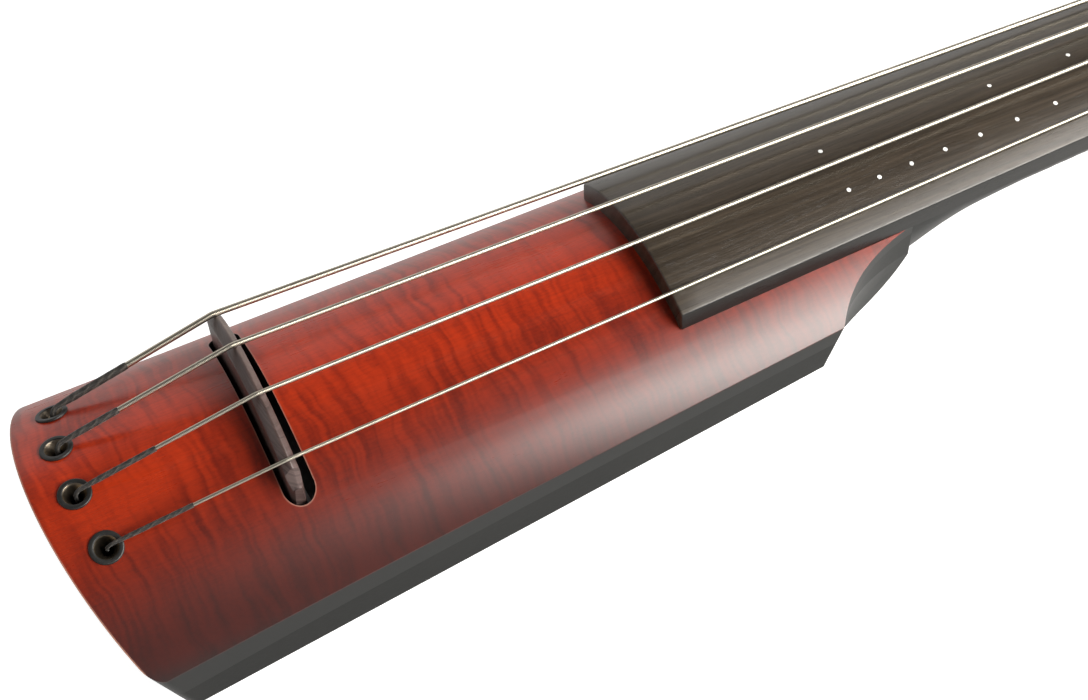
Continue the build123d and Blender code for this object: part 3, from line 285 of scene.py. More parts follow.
maple = {  # colours, then mostly lengths in millimetres
    "bright": (0.455, 0.0315, 0.0048),
    "middle": (0.185, 0.0098, 0.0026),
    "shade": (0.052, 0.0060, 0.0034),
    "edge": (0.0120, 0.0034, 0.0028),
    "rim": (0.0035, 0.003, 0.003),
    # colour of the painted highlights along the tail's edge and round the bridge slot's rim
    "glintColour": (0.36, 0.19, 0.14),
    "archAxis": -4.15,
    "archRadius": 84.6,
    "paintDepth": 0.28,
    "paintFade": 0.12,
    "bandPitch": 3.5,
    "thinPitch": 1.9,
    "bandSlant": 0.05,
    "waverWidth": 11.0,
    "slipWidth": 5.5,
    "flameShares": (0.56, 0.20, 0.24),  # wide bands, thin bands, ripple
    "trebleBurst": (2.0, 84.0),
    "bassBurst": (54.0, 108.0),
    "rimBurst": (84.0, 97.0),
    "tailX": -217.3,
    "tailLean": 0.365,
    "tailBurst": (0.3, 6.0),
    # where the painted highlight along the tail's edge fades out, in millimetres from the edge
    "tailGlintSpan": (0.30, 0.75),
    "heelBurst": (130.0, 220.0),
    "roughness": 0.27,
    "dimpleScale": 0.9,
    "relief": 0.012,
}

mapleNoise = {  # how fine along, how fine across, seed, detail, roughness
    "waver": (0.012, 0.020, 0.0, 1.0, 0.5),
    "slip": (0.05, 0.085, 3.7, 1.0, 0.5),
    "band": (1.0, 0.017, 8.1, 1.5, 0.55),
    "thin": (1.0, 0.045, 1.3, 1.0, 0.5),
    "cloud": (0.016, 0.026, 5.2, 2.0, 0.5),
    "ripple": (0.55, 0.95, 9.4, 3.0, 0.65),
    "streak": (0.09, 1.0, 2.2, 4.0, 0.66),
    "pore": (0.22, 3.4, 6.4, 1.0, 0.5),
}

bridgeSlot = {"x": -123.0, "straight": 41.6, "radius": 6.4, "glintWidth": (0.30, 0.55)}


def slotDistance(x, y):
    # how far outside the bridge slot's edge, in millimetres
    past = (abs(y) - bridgeSlot["straight"]).math("MAXIMUM", 0.0)
    aside = x - bridgeSlot["x"]
    return (past * past + aside * aside) ** 0.5 - bridgeSlot["radius"]


def mapleFinish():
    f = Finish("flamedMaple")
    x, y, z = f.place()
    up = z - maple["archAxis"]
    across = y.math("ARCTAN2", up) * maple["archRadius"]
    reach = (y * y + up * up) ** 0.5

    # flame: narrow bands across the grain that waver a little and break up
    waver = (f.veil(x, across, *mapleNoise["waver"]) - 0.5) * maple["waverWidth"]
    slip = (f.veil(x, across, *mapleNoise["slip"]) - 0.5) * maple["slipWidth"]
    run = x + across * maple["bandSlant"] + waver + slip
    band = f.veil(run / maple["bandPitch"], across, *mapleNoise["band"])
    thin = f.veil(run / maple["thinPitch"], across, *mapleNoise["thin"])
    cloud = f.veil(x, across, *mapleNoise["cloud"])
    ripple = f.veil(x, across, *mapleNoise["ripple"])
    bandShare, thinShare, rippleShare = maple["flameShares"]
    flame = band.above(0.30, 0.72) * bandShare + thin.above(0.28, 0.76) * thinShare
    flame = flame + ripple.above(0.3, 0.75) * rippleShare
    flame = flame * (0.25 + cloud * 0.95)

    # grain: long fine streaks and short dark pores
    streak = f.veil(x, across, *mapleNoise["streak"])
    pore = f.veil(x, across, *mapleNoise["pore"]).above(0.66, 0.74)
    warm = f.mix(flame.above(0.02, 0.92), maple["bright"], maple["middle"])
    warm = f.mix(streak.above(0.35, 0.8) * 0.30, warm, maple["shade"])
    warm = f.mix(pore * 0.24, warm, maple["shade"])

    # burst: the stain darkens towards the long edges, most on the treble side
    spread = (cloud - 0.5) * 12.0 + (flame - 0.3) * 7.0
    treble = (spread - across).above(*maple["trebleBurst"]) ** 0.65
    bass = (spread + across).above(*maple["bassBurst"]) * 0.40
    fromTail = x - maple["tailX"] + (z - maple["archAxis"] - maple["archRadius"]) * maple["tailLean"]
    tail = (1.0 - fromTail.above(*maple["tailBurst"])) * 0.45
    heel = x.above(*maple["heelBurst"]) * 0.4
    dark = treble.math("MAXIMUM", bass).math("MAXIMUM", tail).math("MAXIMUM", heel)
    deep = f.mix(0.12 + flame.above(0.05, 0.9) * 0.55, maple["shade"], maple["edge"])
    burst = f.mix(dark, warm, deep)
    burst = f.mix(abs(across).above(*maple["rimBurst"]) * 0.70, burst, maple["rim"])
    tailGlint = (1.0 - fromTail.above(*maple["tailGlintSpan"])) * 0.75  # painted highlight along the tail's edge, standing in for light caught by a rounded edge
    burst = f.mix(tailGlint, burst, maple["glintColour"])

    # black paint begins just under the edge of the arch and inside the bridge slot
    paintTop = maple["archRadius"] - maple["paintDepth"]
    painted = 1.0 - reach.above(paintTop - maple["paintFade"], paintTop)
    lip = slotDistance(x, y)
    inSlot = 1.0 - lip.above(0.02, 0.06)
    # painted highlight along the rim of the bridge slot
    glint = (1.0 - lip.above(*bridgeSlot["glintWidth"])) * (1.0 - inSlot)
    colour = f.mix(glint * 0.55, burst, maple["glintColour"])
    black = painted.math("MAXIMUM", inSlot)
    f.feed("Base Color", f.mix(black, colour, blackLacquer["colour"]))
    f.feed("Roughness", maple["roughness"] + (cloud - 0.5) * 0.05 + streak * 0.03 + black * 0.12)
    dimple = f.grit((x, across, z), maple["dimpleScale"], detail=1.0)
    f.bump(streak * 0.7 + dimple * 0.3, maple["relief"])
    return f.material


blackLacquer = {
    "colour": (0.0048, 0.0052, 0.0046),
    "dusty": (0.0115, 0.0118, 0.0108),
    "roughness": 0.36,
    "cloudScale": 0.02,
    "peelScale": 0.55,
    "speckScale": 2.6,
    "relief": 0.02,
}


def blackLacquerFinish():
    f = Finish("blackLacquer", Specular_IOR_Level=0.30)
    place = f.place()
    cloud = f.grit(place, blackLacquer["cloudScale"], detail=4.0)
    peel = f.grit(place, blackLacquer["peelScale"], detail=1.5)
    speck = f.grit(place, blackLacquer["speckScale"], detail=1.0).above(0.72, 0.8)
    f.stained(blackLacquer["colour"], blackLacquer["dusty"], cloud.above(0.4, 0.75) * 0.5 + speck * 0.25)
    f.feed("Roughness", blackLacquer["roughness"] + (cloud - 0.5) * 0.10 + (peel - 0.5) * 0.05)
    f.bump(peel + speck * 0.2, blackLacquer["relief"])
    return f.material


board = {
    "endX": 45.0,
    "nutX": 925.0,
    "endHalf": 43.15,
    "nutHalf": 23.4,
    "radius": 75.0,
    "endTop": 91.78,
    "nutTop": 84.41,
    "endFoot": 69.1,
    "nutFoot": 75.8,
    "footRound": 0.3,
    "edgeRound": 1.1,
    "endRound": 0.8,
    "stations": 90,
    "archStop": 1.6,  # corner radii between the arch's last point and the edge
    "archSteps": 14,
    "nearest": 0.05,
    "cornerSteps": 5,
    "endSteps": 4,
    "rowDots": range(12, 25),  # semitones up the string
    "middleDots": (3, 5, 7, 9, 12, 15, 17, 19, 24),
    "dotSides": 28,
    "dotProfile": ((1.0, -0.6), (1.0, 0.004), (0.97, 0.018), (0.7, 0.03)),  # radius, height
}

ebony = {
    "dark": (0.0265, 0.0200, 0.0140),
    "brown": (0.072, 0.054, 0.038),
    "pore": (0.006, 0.005, 0.0045),
    # colour painted on the upright sides, as painted shade
    "side": (0.0060, 0.0056, 0.0050),
    "roughness": 0.30,
    "relief": 0.02,
}

ebonyNoise = {  # how fine along, how fine across, seed, detail, roughness
    "sway": (0.006, 0.05, 1.1, 2.0, 0.5),
    "streak": (0.010, 0.42, 4.0, 4.0, 0.65),
    "fibre": (0.05, 3.2, 7.7, 3.0, 0.7),
    "pore": (0.11, 4.6, 2.9, 1.0, 0.5),
}


def ebonyFinish():
    f = Finish("ebony")
    x, y, z = f.place()
    sway = f.veil(x, y, *ebonyNoise["sway"])
    lane = y + (sway - 0.5) * 9.0 + z * 0.4
    streak = f.veil(x, lane, *ebonyNoise["streak"])
    fibre = f.veil(x, lane, *ebonyNoise["fibre"])
    pore = f.veil(x, lane, *ebonyNoise["pore"]).above(0.64, 0.70)
    tone = streak.above(0.38, 0.72) * 0.62 + fibre.above(0.4, 0.75) * 0.38
    colour = f.mix(tone, ebony["dark"], ebony["brown"])
    colour = f.mix(pore * 0.55, colour, ebony["pore"])
    share = (x - board["endX"]) / (board["nutX"] - board["endX"])
    half = board["endHalf"] + share * (board["nutHalf"] - board["endHalf"])
    side = (abs(y) - half).above(-0.45, -0.05)  # the upright sides are painted darker, as painted shade
    f.feed("Base Color", f.mix(side, colour, ebony["side"]))
    f.feed("Roughness", ebony["roughness"] + (fibre - 0.5) * 0.16 + pore * 0.12)
    f.bump(fibre * 0.6 - pore * 0.8, ebony["relief"])
    return f.material


bridgeWood = {  # the noises as for the ebony
    "dark": (0.050, 0.030, 0.027),
    "pale": (0.105, 0.070, 0.064),
    "pore": (0.020, 0.013, 0.013),
    "roughness": 0.34,
    "relief": 0.015,
    "swayScale": (0.1, 0.02, 0.08),
    "streakNoise": (0.035, 0.9, 3.0, 4.0, 0.62),
    "poreNoise": (0.22, 5.0, 5.5, 1.0, 0.5),
}


def bridgeWoodFinish():
    f = Finish("bridgeWood")
    place = f.place()
    x, y, z = place
    sway = f.grit(place, bridgeWood["swayScale"])
    lane = z + x * 0.6 + (sway - 0.5) * 3.0
    streak = f.veil(y, lane, *bridgeWood["streakNoise"])
    pore = f.veil(y, lane, *bridgeWood["poreNoise"]).above(0.63, 0.70)
    colour = f.mix(streak.above(0.35, 0.7), bridgeWood["pale"], bridgeWood["dark"])
    f.feed("Base Color", f.mix(pore * 0.6, colour, bridgeWood["pore"]))
    f.feed("Roughness", bridgeWood["roughness"] + (streak - 0.5) * 0.14)
    f.bump(streak - pore, bridgeWood["relief"])
    return f.material


stringSteel = {
    "bright": (0.60, 0.555, 0.46),
    "dull": (0.17, 0.15, 0.115),
    "roughness": 0.27,
    "wrapPitch": 0.62,
    "thickFrom": 1.5,
    "thickRelief": 0.035,
    "thinRelief": 0.02,
    "wearNoise": (0.05, 2.0, 0.5, 3.0),
    "grimeNoise": (0.9, 4.0, 3.5, 2.0),
}


def alongAndRound(f):
    # millimetres along a tube, and the share of the way round it
    uv = f.node("ShaderNodeUVMap", {"uv_map": "route"})
    return [f.node("ShaderNodeSeparateXYZ", inputs={0: uv}, output=i) for i in range(2)]


def stringFinish(name, diameter):
    f = Finish("stringSteel_" + name, Metallic=1.0)
    run, turn = alongAndRound(f)
    wrap = (run / stringSteel["wrapPitch"] + turn).math("FRACT")
    ridge = ((wrap - 0.5) * (wrap - 0.5)) * 4.0  # 1 in the gap between two turns
    # the gaps between wrap turns are painted darker, as painted shade; they are also made rougher
    gapShade = ridge.above(0.55, 1.0)
    wear = f.veil(run, turn, *stringSteel["wearNoise"])
    grime = f.veil(run, turn, *stringSteel["grimeNoise"])
    share = gapShade * 0.75 + wear.above(0.45, 0.8) * 0.28 + grime.above(0.5, 0.8) * 0.15
    f.stained(stringSteel["bright"], stringSteel["dull"], share)
    f.feed("Roughness", stringSteel["roughness"] + wear * 0.08 + gapShade * 0.12)
    thick = diameter > stringSteel["thickFrom"]
    f.bump(1.0 - ridge, stringSteel["thickRelief"] if thick else stringSteel["thinRelief"])
    return f.material


silkThread = {
    "dark": (0.0095, 0.0085, 0.0080),
    # the paler colour is the painted highlight on strand and wrap crests, and the colour of loose fluff
    "pale": (0.095, 0.082, 0.068),
    "roughness": 0.62,
    "sheen": 0.25,
    "sheenRoughness": 0.4,
    "relief": 0.14,
    "pitch": 0.42,
    "strandPitch": 5.5,
    "strands": 3.0,
    "unevenNoise": (0.35, 2.5, 0.7, 2.0),
    "fluffNoise": (1.4, 14.0, 4.4, 3.0, 0.7),
    "thinned": (2.0, 10.0),  # the string is only its core up to here, from the ferrule's mouth
    "core": 0.62,
    "tailEnds": {"e": (-7.0, 34.0), "a": (-7.0, 27.0), "d": (-7.0, 34.0), "g": (-7.0, 35.0)},
    "pegEnds": (9.0, 46.0),
    "thickness": 0.35,
    "body": 0.52,  # of the thickness: the least, what each thread adds, what chance adds
    "swell": 0.14,
    "chance": 0.22,
    "fray": 0.8,
    "frayedEnd": 0.25,
    "stepsPerThread": 4,
    "sides": 18,
}


def silkFinish():
    f = Finish("silkThread", Roughness=silkThread["roughness"])
    run, turn = alongAndRound(f)
    uneven = f.veil(run, turn, *silkThread["unevenNoise"])
    twist = run / silkThread["strandPitch"] + turn * silkThread["strands"] + uneven * 1.2
    strand = 1.0 - abs(twist.math("FRACT") * 2.0 - 1.0)
    wrap = run / silkThread["pitch"] + turn * 2.0 + uneven * 0.8
    thread = 1.0 - abs(wrap.math("FRACT") * 2.0 - 1.0)
    fluff = f.veil(run, turn, *silkThread["fluffNoise"])
    # strand and wrap crests are painted paler, as a painted highlight; the fluff term is paler loose fibre
    pale = strand.above(0.45, 0.95) * 0.40 + thread * 0.14 + fluff.above(0.5, 0.8) * 0.55
    f.stained(silkThread["dark"], silkThread["pale"], pale)
    f.bump(strand * 0.9 + thread * 0.35 + fluff * 0.5, silkThread["relief"])
    f.feed("Sheen Weight", silkThread["sheen"])
    f.feed("Sheen Roughness", silkThread["sheenRoughness"])
    return f.material


metals = {  # bright, dull, roughness, brushing along x y z, bump depth in mm
    "nickel": ((0.66, 0.63, 0.57), (0.45, 0.42, 0.37), 0.20, (0.3, 0.3, 0.3), 0.004),
    "tunerSteel": ((0.62, 0.61, 0.58), (0.40, 0.39, 0.37), 0.26, (0.06, 2.4, 2.4), 0.006),
    "screwSteel": ((0.36, 0.36, 0.36), (0.20, 0.20, 0.20), 0.32, (0.8, 0.8, 0.8), 0.006),
    "aluminium": ((0.60, 0.60, 0.61), (0.44, 0.44, 0.45), 0.36, (0.05, 3.0, 3.0), 0.008),
    "brass": ((0.70, 0.47, 0.17), (0.42, 0.26, 0.09), 0.28, (1.6, 1.6, 0.2), 0.006),
    "blackMetal": ((0.0090, 0.0088, 0.0085), (0.024, 0.023, 0.021), 0.42, (0.7, 0.7, 0.7), 0.008),
    "funnelBronze": ((0.20, 0.165, 0.125), (0.085, 0.068, 0.052), 0.34, (1.6, 1.6, 1.6), 0.012),
}
handling = {"scale": 0.07, "spotScale": 1.9}


def metalFinish(name):
    bright, dull, roughness, brushing, depth = metals[name]
    f = Finish(name, Metallic=0.0 if name == "blackMetal" else 1.0)
    place = f.place()
    brush = f.grit(place, brushing, detail=3.0, rough=0.6)
    hand = f.grit(place, handling["scale"], detail=3.0)
    spot = f.grit(place, handling["spotScale"], detail=1.0).above(0.68, 0.78)
    f.stained(bright, dull, brush.above(0.35, 0.75) * 0.35 + hand.above(0.45, 0.8) * 0.35 + spot * 0.3)
    f.feed("Roughness", roughness + (hand - 0.4) * 0.16 + (brush - 0.5) * 0.08 + spot * 0.06)
    f.bump(brush, depth)
    return f.material


smallStuff = {  # colour, second colour, roughness, speck scale, metallic, swirl, coat, bump depth in mm
    "knobPlastic": ((0.014, 0.014, 0.015), (0.030, 0.030, 0.031), 0.46, 1.4, 0.0, 0.0, 0.0, 0.02),
    "pearl": ((0.88, 0.87, 0.83), (0.66, 0.68, 0.70), 0.16, 1.1, 0.0, 1.2, 0.4, 0.006),
    "piezoFilm": ((0.11, 0.09, 0.05), (0.26, 0.20, 0.10), 0.30, 0.5, 0.6, 0.0, 0.0, 0.02),
    "boardResin": ((0.012, 0.085, 0.035), (0.020, 0.130, 0.060), 0.34, 0.9, 0.0, 0.0, 0.0, 0.02),
}


def smallFinish(name):
    base, second, roughness, scale, metallic, swirl, coat, depth = smallStuff[name]
    f = Finish(name, Metallic=metallic, Coat_Weight=coat)
    place = f.place()
    speck = f.grit(place, scale, detail=3.0, twist=swirl)
    soft = f.grit(place, scale * 0.2)
    f.stained(base, second, speck.above(0.4, 0.65) * 0.7 + soft * 0.3)
    f.feed("Roughness", roughness + (soft - 0.5) * 0.12)
    f.bump(speck, depth)
    return f.material


finishes = {
    "black_lacquer": blackLacquerFinish(),
    "flamed_maple": mapleFinish(),
    "ebony": ebonyFinish(),
    "bridge_wood": bridgeWoodFinish(),
    "silk_thread": silkFinish(),
    "brass": metalFinish("brass"),
    "black_metal": metalFinish("blackMetal"),
    "nickel": metalFinish("nickel"),
    "tuner_steel": metalFinish("tunerSteel"),
    "aluminium": metalFinish("aluminium"),
    "screw_steel": metalFinish("screwSteel"),
    "knob_plastic": smallFinish("knobPlastic"),
    "pearl": smallFinish("pearl"),
    "piezo_film": smallFinish("piezoFilm"),
    "board_resin": smallFinish("boardResin"),
}
for node in nodes.values():
    for spot in node.material_slots:
        if spot.material and spot.material.name in finishes:
            spot.material = finishes[spot.material.name]
print("finishes made")


def newPiece(name, vertices, faces, finish, sharpAngle):
    mesh = bpy.data.meshes.new(name)
    mesh.from_pydata([tuple(v) for v in vertices], [], faces)
    mesh.validate()
    mesh.shade_smooth()
    mesh.set_sharp_from_angle(angle=math.radians(sharpAngle))
    mesh.materials.append(finish)
    piece = bpy.data.objects.new(name, mesh)
    bpy.context.scene.collection.objects.link(piece)
    return piece


def ringFaces(rings, sides, first=0, closeEnds=True):
    faces = []
    for i in range(rings - 1):
        for j in range(sides):
            k = (j + 1) % sides
            a, b = first + i * sides, first + (i + 1) * sides
            faces.append((a + j, a + k, b + k, b + j))
    if closeEnds:
        faces.append(tuple(first + j for j in reversed(range(sides))))
        faces.append(tuple(first + (rings - 1) * sides + j for j in range(sides)))
    return faces


# the strings' run, in millimetres from the stand socket
layout = {
    "names": ("e", "a", "d", "g"),
    "slot": {"e": 1.5, "a": 0.5, "d": -0.5, "g": -1.5},
    "diameter": {"e": 2.7, "a": 2.2, "d": 1.8, "g": 1.4},
    "bridgeX": -125.0,
    "scaleLength": 1050.0,
    "stringTop": 98.0,
    "bridgeSpacing": 27.0,
    "nutSpacing": 9.2,
    "crestRadius": 82.0,
    "crestShift": 1.63,
    "nutDropInner": 12.06,
    "nutDropOuter": 13.37,
    "ferruleOuter": (-197.3, 35.75),
    "ferruleInner": (-200.6, 12.15),
    "ferruleDepth": 16.0,
    "mouthRise": 1.7,
    "ballSeat": (-170.0, 10.0),
    "ballReach": 2.2,
    "bends": (14.0, 4.6, 8.0, 14.0),
    "headX": 933.0,
    "headZ": 74.0,
    "headLength": 184.0,
    "headThickness": 17.0,
    "tunerNear": (55.0, 20.5),
    "tunerFar": (125.0, 13.5),
    "postWaist": 5.8,
    "windingGap": 0.3,
    "windingHeight": 9.0,
    "turnsOnPost": 2.0,
    "stepsPerTurn": 48,
    "sides": 20,
    "cutEnd": (0.9, 0.7, 0.4),  # share of the thickness at the last points
}
headReach = math.hypot(layout["headLength"], layout["headThickness"])
headAngle = math.asin(layout["headZ"] / headReach) - math.atan2(layout["headThickness"], layout["headLength"])


def onHead(x, y, z):
    c, s = math.cos(headAngle), math.sin(headAngle)
    return Vector((layout["headX"] + x * c + z * s, y, layout["headZ"] - x * s + z * c))


def archHeight(y):
    return maple["archAxis"] + math.sqrt(maple["archRadius"] ** 2 - y**2)


def sideOf(name):
    return 1 if layout["slot"][name] > 0 else -1


def isOuter(name):
    return abs(layout["slot"][name]) > 1


def ferrule(name):
    x, y = layout["ferruleOuter"] if isOuter(name) else layout["ferruleInner"]
    y *= sideOf(name)
    lean = y / maple["archRadius"]
    return Vector((x, y, archHeight(y))), Vector((0, lean, math.sqrt(1 - lean**2)))


def bridgeContact(name):
    y = layout["slot"][name] * layout["bridgeSpacing"]
    r = layout["crestRadius"]
    sag = r - math.sqrt(r**2 - (y - layout["crestShift"]) ** 2)
    return Vector((layout["bridgeX"], y, layout["stringTop"] - sag))


def nutContact(name):
    drop = layout["nutDropOuter"] if isOuter(name) else layout["nutDropInner"]
    x = layout["bridgeX"] + layout["scaleLength"]
    return Vector((x, layout["slot"][name] * layout["nutSpacing"], layout["stringTop"] - drop))


def tunerPlace(name):
    x, y = layout["tunerNear"] if isOuter(name) else layout["tunerFar"]
    return x, y * sideOf(name)


def windingRadius(name):
    return layout["postWaist"] + layout["windingGap"] + layout["diameter"][name] / 2


def stringRoute(name):
    mouth, up = ferrule(name)
    knee = mouth - up * layout["ferruleDepth"]
    seat = Vector((layout["ballSeat"][0], knee.y, layout["ballSeat"][1]))
    x, y = tunerPlace(name)
    peg = onHead(x, y - sideOf(name) * windingRadius(name), layout["windingHeight"])
    return [
        seat + (knee - seat).normalized() * layout["ballReach"],
        knee,
        mouth + up * layout["mouthRise"],
        bridgeContact(name),
        nutContact(name),
        peg,
    ]


def roundedRoute(route, bends, step=9.0, arcSteps=12):
    # points along straight runs joined by arcs, and the index of each arc's middle
    points, middles = [route[0]], []
    for i, radius in enumerate(bends, start=1):
        corner = route[i]
        back = (route[i - 1] - corner).normalized()
        ahead = (route[i + 1] - corner).normalized()
        half = back.angle(ahead) / 2
        cut = radius / math.tan(half)
        centre = corner + (back + ahead).normalized() * (radius / math.sin(half))
        start, end = corner + back * cut, corner + ahead * cut
        run = start - points[-1]
        count = max(1, round(run.length / step))
        points += [points[-1] + run * (k / count) for k in range(1, count)]
        first, last = start - centre, end - centre
        turn = first.angle(last)
        for k in range(arcSteps + 1):
            t = k / arcSteps
            a = math.sin((1 - t) * turn) / math.sin(turn)
            b = math.sin(t * turn) / math.sin(turn)
            points.append(centre + first * a + last * b)
        middles.append(len(points) - 1 - arcSteps // 2)
    run = route[-1] - points[-1]
    count = max(1, round(run.length / step))
    points += [points[-1] + run * (k / count) for k in range(1, count + 1)]
    return points, middles


def partWay(points, distance):
    # the place at a distance along the points
    for here, ahead in zip(points, points[1:]):
        step = (ahead - here).length
        if distance <= step:
            return here.lerp(ahead, distance / step)
        distance -= step
    return points[-1]


def tube(name, points, radii, sides, finish):
    # a round tube with its length (mm) and its turn kept in the uv map named route
    vertices, runs, travelled = [], [], 0.0
    tangent = (points[1] - points[0]).normalized()
    side = tangent.orthogonal().normalized()
    for i, here in enumerate(points):
        before, after = points[max(i - 1, 0)], points[min(i + 1, len(points) - 1)]
        heading = (after - before).normalized()
        side = (side - heading * side.dot(heading)).normalized()
        up = heading.cross(side)
        if i:
            travelled += (here - before).length
        runs.append(travelled)
        for j in range(sides):
            a = 2 * math.pi * j / sides
            vertices.append((here + (side * math.cos(a) + up * math.sin(a)) * radii[i]) * mm)
    faces = ringFaces(len(points), sides)
    piece = newPiece(name, vertices, faces, finish, 60.0)
    layer = piece.data.uv_layers.new(name="route")
    for polygon in piece.data.polygons:
        columns = [v % sides for v in polygon.vertices]
        wraps = max(columns) == sides - 1 and min(columns) == 0 and len(columns) == 4
        for loop, vertex, column in zip(polygon.loop_indices, polygon.vertices, columns):
            turn = 1.0 if wraps and column == 0 else column / sides
            layer.data[loop].uv = (runs[vertex // sides], turn)
    return piece


def windings(name):
    # the turns on the post, rising by one diameter each
    x, y = tunerPlace(name)
    side, radius, d = sideOf(name), windingRadius(name), layout["diameter"][name]
    steps = int(layout["stepsPerTurn"] * layout["turnsOnPost"])
    turns = []
    for k in range(1, steps + 1):
        share = k / steps
        a = side * (-math.pi / 2 + 2 * math.pi * layout["turnsOnPost"] * share)
        height = layout["windingHeight"] + d * layout["turnsOnPost"] * share
        turns.append(onHead(x + radius * math.cos(a), y + radius * math.sin(a), height))
    return turns


def pathLength(points):
    return sum((b - a).length for a, b in zip(points, points[1:]))


def fullness(past):
    # share of the full thickness, at a length past the ferrule's mouth: only the core goes in
    low, high = silkThread["thinned"]
    return silkThread["core"] + (1 - silkThread["core"]) * min(1.0, max(0.0, (past - low) / (high - low)))


def buildString(name, route, points, middles):
    split = middles[2]  # at the bridge
    radius = layout["diameter"][name] / 2
    finish = stringFinish(name, layout["diameter"][name])
    bridgePlace, ferrulePlace, nutPlace = [tuple(route[i] * mm) for i in (3, 2, 4)]

    tailPoints = points[: split + 1]
    tailRadii = []
    for i in range(len(tailPoints)):
        past = pathLength(tailPoints[middles[1]: i + 1]) if i > middles[1] else 0.0
        tailRadii.append(radius * fullness(past))
    tail = tube("string_tail_" + name, tailPoints, tailRadii, layout["sides"], finish)
    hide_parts("string_" + name)
    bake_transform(tail)

    ahead = points[split:] + windings(name)
    radii = [radius] * len(ahead)
    radii[-len(layout["cutEnd"]):] = [radius * share for share in layout["cutEnd"]]
    speaking = tube("string_" + name + "_speaking", ahead, radii, layout["sides"], finish)
    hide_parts("string_" + name)
    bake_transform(speaking)


def buildSilk(name, end, outward, inward, ends, chance):
    # thread wound over the string, measured outward, and inward where the run is below 0
    near, far = ends
    radius = layout["diameter"][name] / 2
    fray, frayed = silkThread["fray"], silkThread["frayedEnd"]
    count = int((far - near) / silkThread["pitch"] * silkThread["stepsPerThread"])
    places, radii = [], []
    for k in range(count + 1):
        run = near + (far - near) * k / count
        whole = min(1.0, (far - run) / fray + frayed, (run - near) / fray + frayed)
        swell = 0.5 + 0.5 * math.cos(2 * math.pi * run / silkThread["pitch"])
        inside = radius if end == "peg" else radius * fullness(run)
        thread = silkThread["body"] + silkThread["swell"] * swell + chance.uniform(0, silkThread["chance"])
        radii.append(inside + silkThread["thickness"] * whole * thread)
        places.append(partWay(outward, run) if run >= 0 else partWay(inward, -run))
    finish = finishes["silk_thread"]
    return tube(f"silk_{end}_{name}", places, radii, silkThread["sides"], finish)


def buildStrings():
    for name in layout["names"]:
        route = stringRoute(name)
        points, middles = roundedRoute(route, layout["bends"])
        buildString(name, route, points, middles)

        chance = random.Random(name)
        mouth = middles[1]
        tailEnds = silkThread["tailEnds"][name]
        tailSilk = buildSilk(name, "tail", points[mouth:], points[mouth::-1], tailEnds, chance)
        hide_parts("string_silks")
        tuple(route[3] * mm)
        tuple(route[2] * mm)
        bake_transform(tailSilk)
        pegSilk = buildSilk(name, "peg", points[::-1], [], silkThread["pegEnds"], chance)
        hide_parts("string_silks")
        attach(pegSilk, "root")


buildStrings()
print("strings and silks made")


ferruleShape = {  # profiles: distance from the axis, height over the arch
    "sides": 64,
    "ring": (
        (4.72, 0.62), (4.84, 0.80), (5.05, 0.86), (6.10, 0.86), (6.42, 0.78), (6.60, 0.52), (6.65, 0.20),
        (6.65, 0.0), (6.55, -0.12), (5.20, -0.12), (5.15, -0.6), (5.15, -4.0), (4.80, -4.0), (4.72, -1.0),
    ),
    "funnel": (
        (2.25, -14.6), (2.25, -5.2), (2.40, -4.3), (2.85, -3.1), (3.50, -1.6), (4.10, -0.35), (4.50, 0.30),
        (4.70, 0.50), (4.70, 0.10), (4.70, -4.4), (5.10, -4.6), (5.10, -14.6),
    ),
}


def turnedRings(place, up, profile, sides):
    # one ring of points for each radius and height of the profile
    side = Vector((1, 0, 0))
    other = up.cross(side)
    points = []
    for r, h in profile:
        for j in range(sides):
            a = 2 * math.pi * j / sides
            points.append((place + up * h + (side * math.cos(a) + other * math.sin(a)) * r) * mm)
    return points


def buildFerrulePart(name, place, up, profile, finish):
    # a closed turned shape about the ferrule's axis
    sides = ferruleShape["sides"]
    vertices = turnedRings(place, up, profile, sides)
    faces = ringFaces(len(profile), sides, closeEnds=False)
    last = (len(profile) - 1) * sides
    faces += [(last + j, last + (j + 1) % sides, (j + 1) % sides, j) for j in range(sides)]
    piece = newPiece(name, vertices, faces, finish, 50.0)
    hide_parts("front_ferrules")
    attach(piece, "root")


def buildFerrules():
    funnelMetal = metalFinish("funnelBronze")
    for name in layout["names"]:
        place, up = ferrule(name)
        buildFerrulePart("ferrule_" + name, place, up, ferruleShape["ring"], finishes["black_metal"])
        buildFerrulePart("ferrule_funnel_" + name, place, up, ferruleShape["funnel"], funnelMetal)


buildFerrules()
print("ferrules made")


blade = {
    "middleX": -123.8,
    "bottom": 41.12,
    "lowHalf": 43.5,
    "wideHalf": 46.2,
    "wideZ": 74.0,
    "crestHalf": 43.0,
    "crestDrop": 0.9,
    "least": 0.02,  # the blade's height at its outermost points
    "fullCrest": 9.0,  # the crest's profile is whole where the blade is taller than this
    "pinch": 0.55,
    "pinchCurve": 1.5,
    "notchSlack": 0.1,
    "notchDrop": 0.15,
    "endStations": 10,
    "crestStations": 60,
    "notchStations": 7,
    "faceRows": 4,
    "crest": (  # across the thickness, depth under the crest
        (-3.50, 3.60), (-3.42, 3.15), (-3.20, 2.78), (-2.40, 1.95), (-1.50, 1.02), (-0.95, 0.47),
        (-0.60, 0.20), (-0.25, 0.05), (0.05, 0.0), (0.30, 0.07), (0.50, 0.24), (0.80, 0.52),
        (1.50, 1.10), (2.05, 1.60), (2.38, 1.98), (2.55, 2.35), (2.60, 2.80),
    ),
}


def crestHeight(y):
    r = layout["crestRadius"] - blade["crestDrop"]
    return layout["stringTop"] - layout["crestRadius"] + math.sqrt(r**2 - (y - layout["crestShift"]) ** 2)


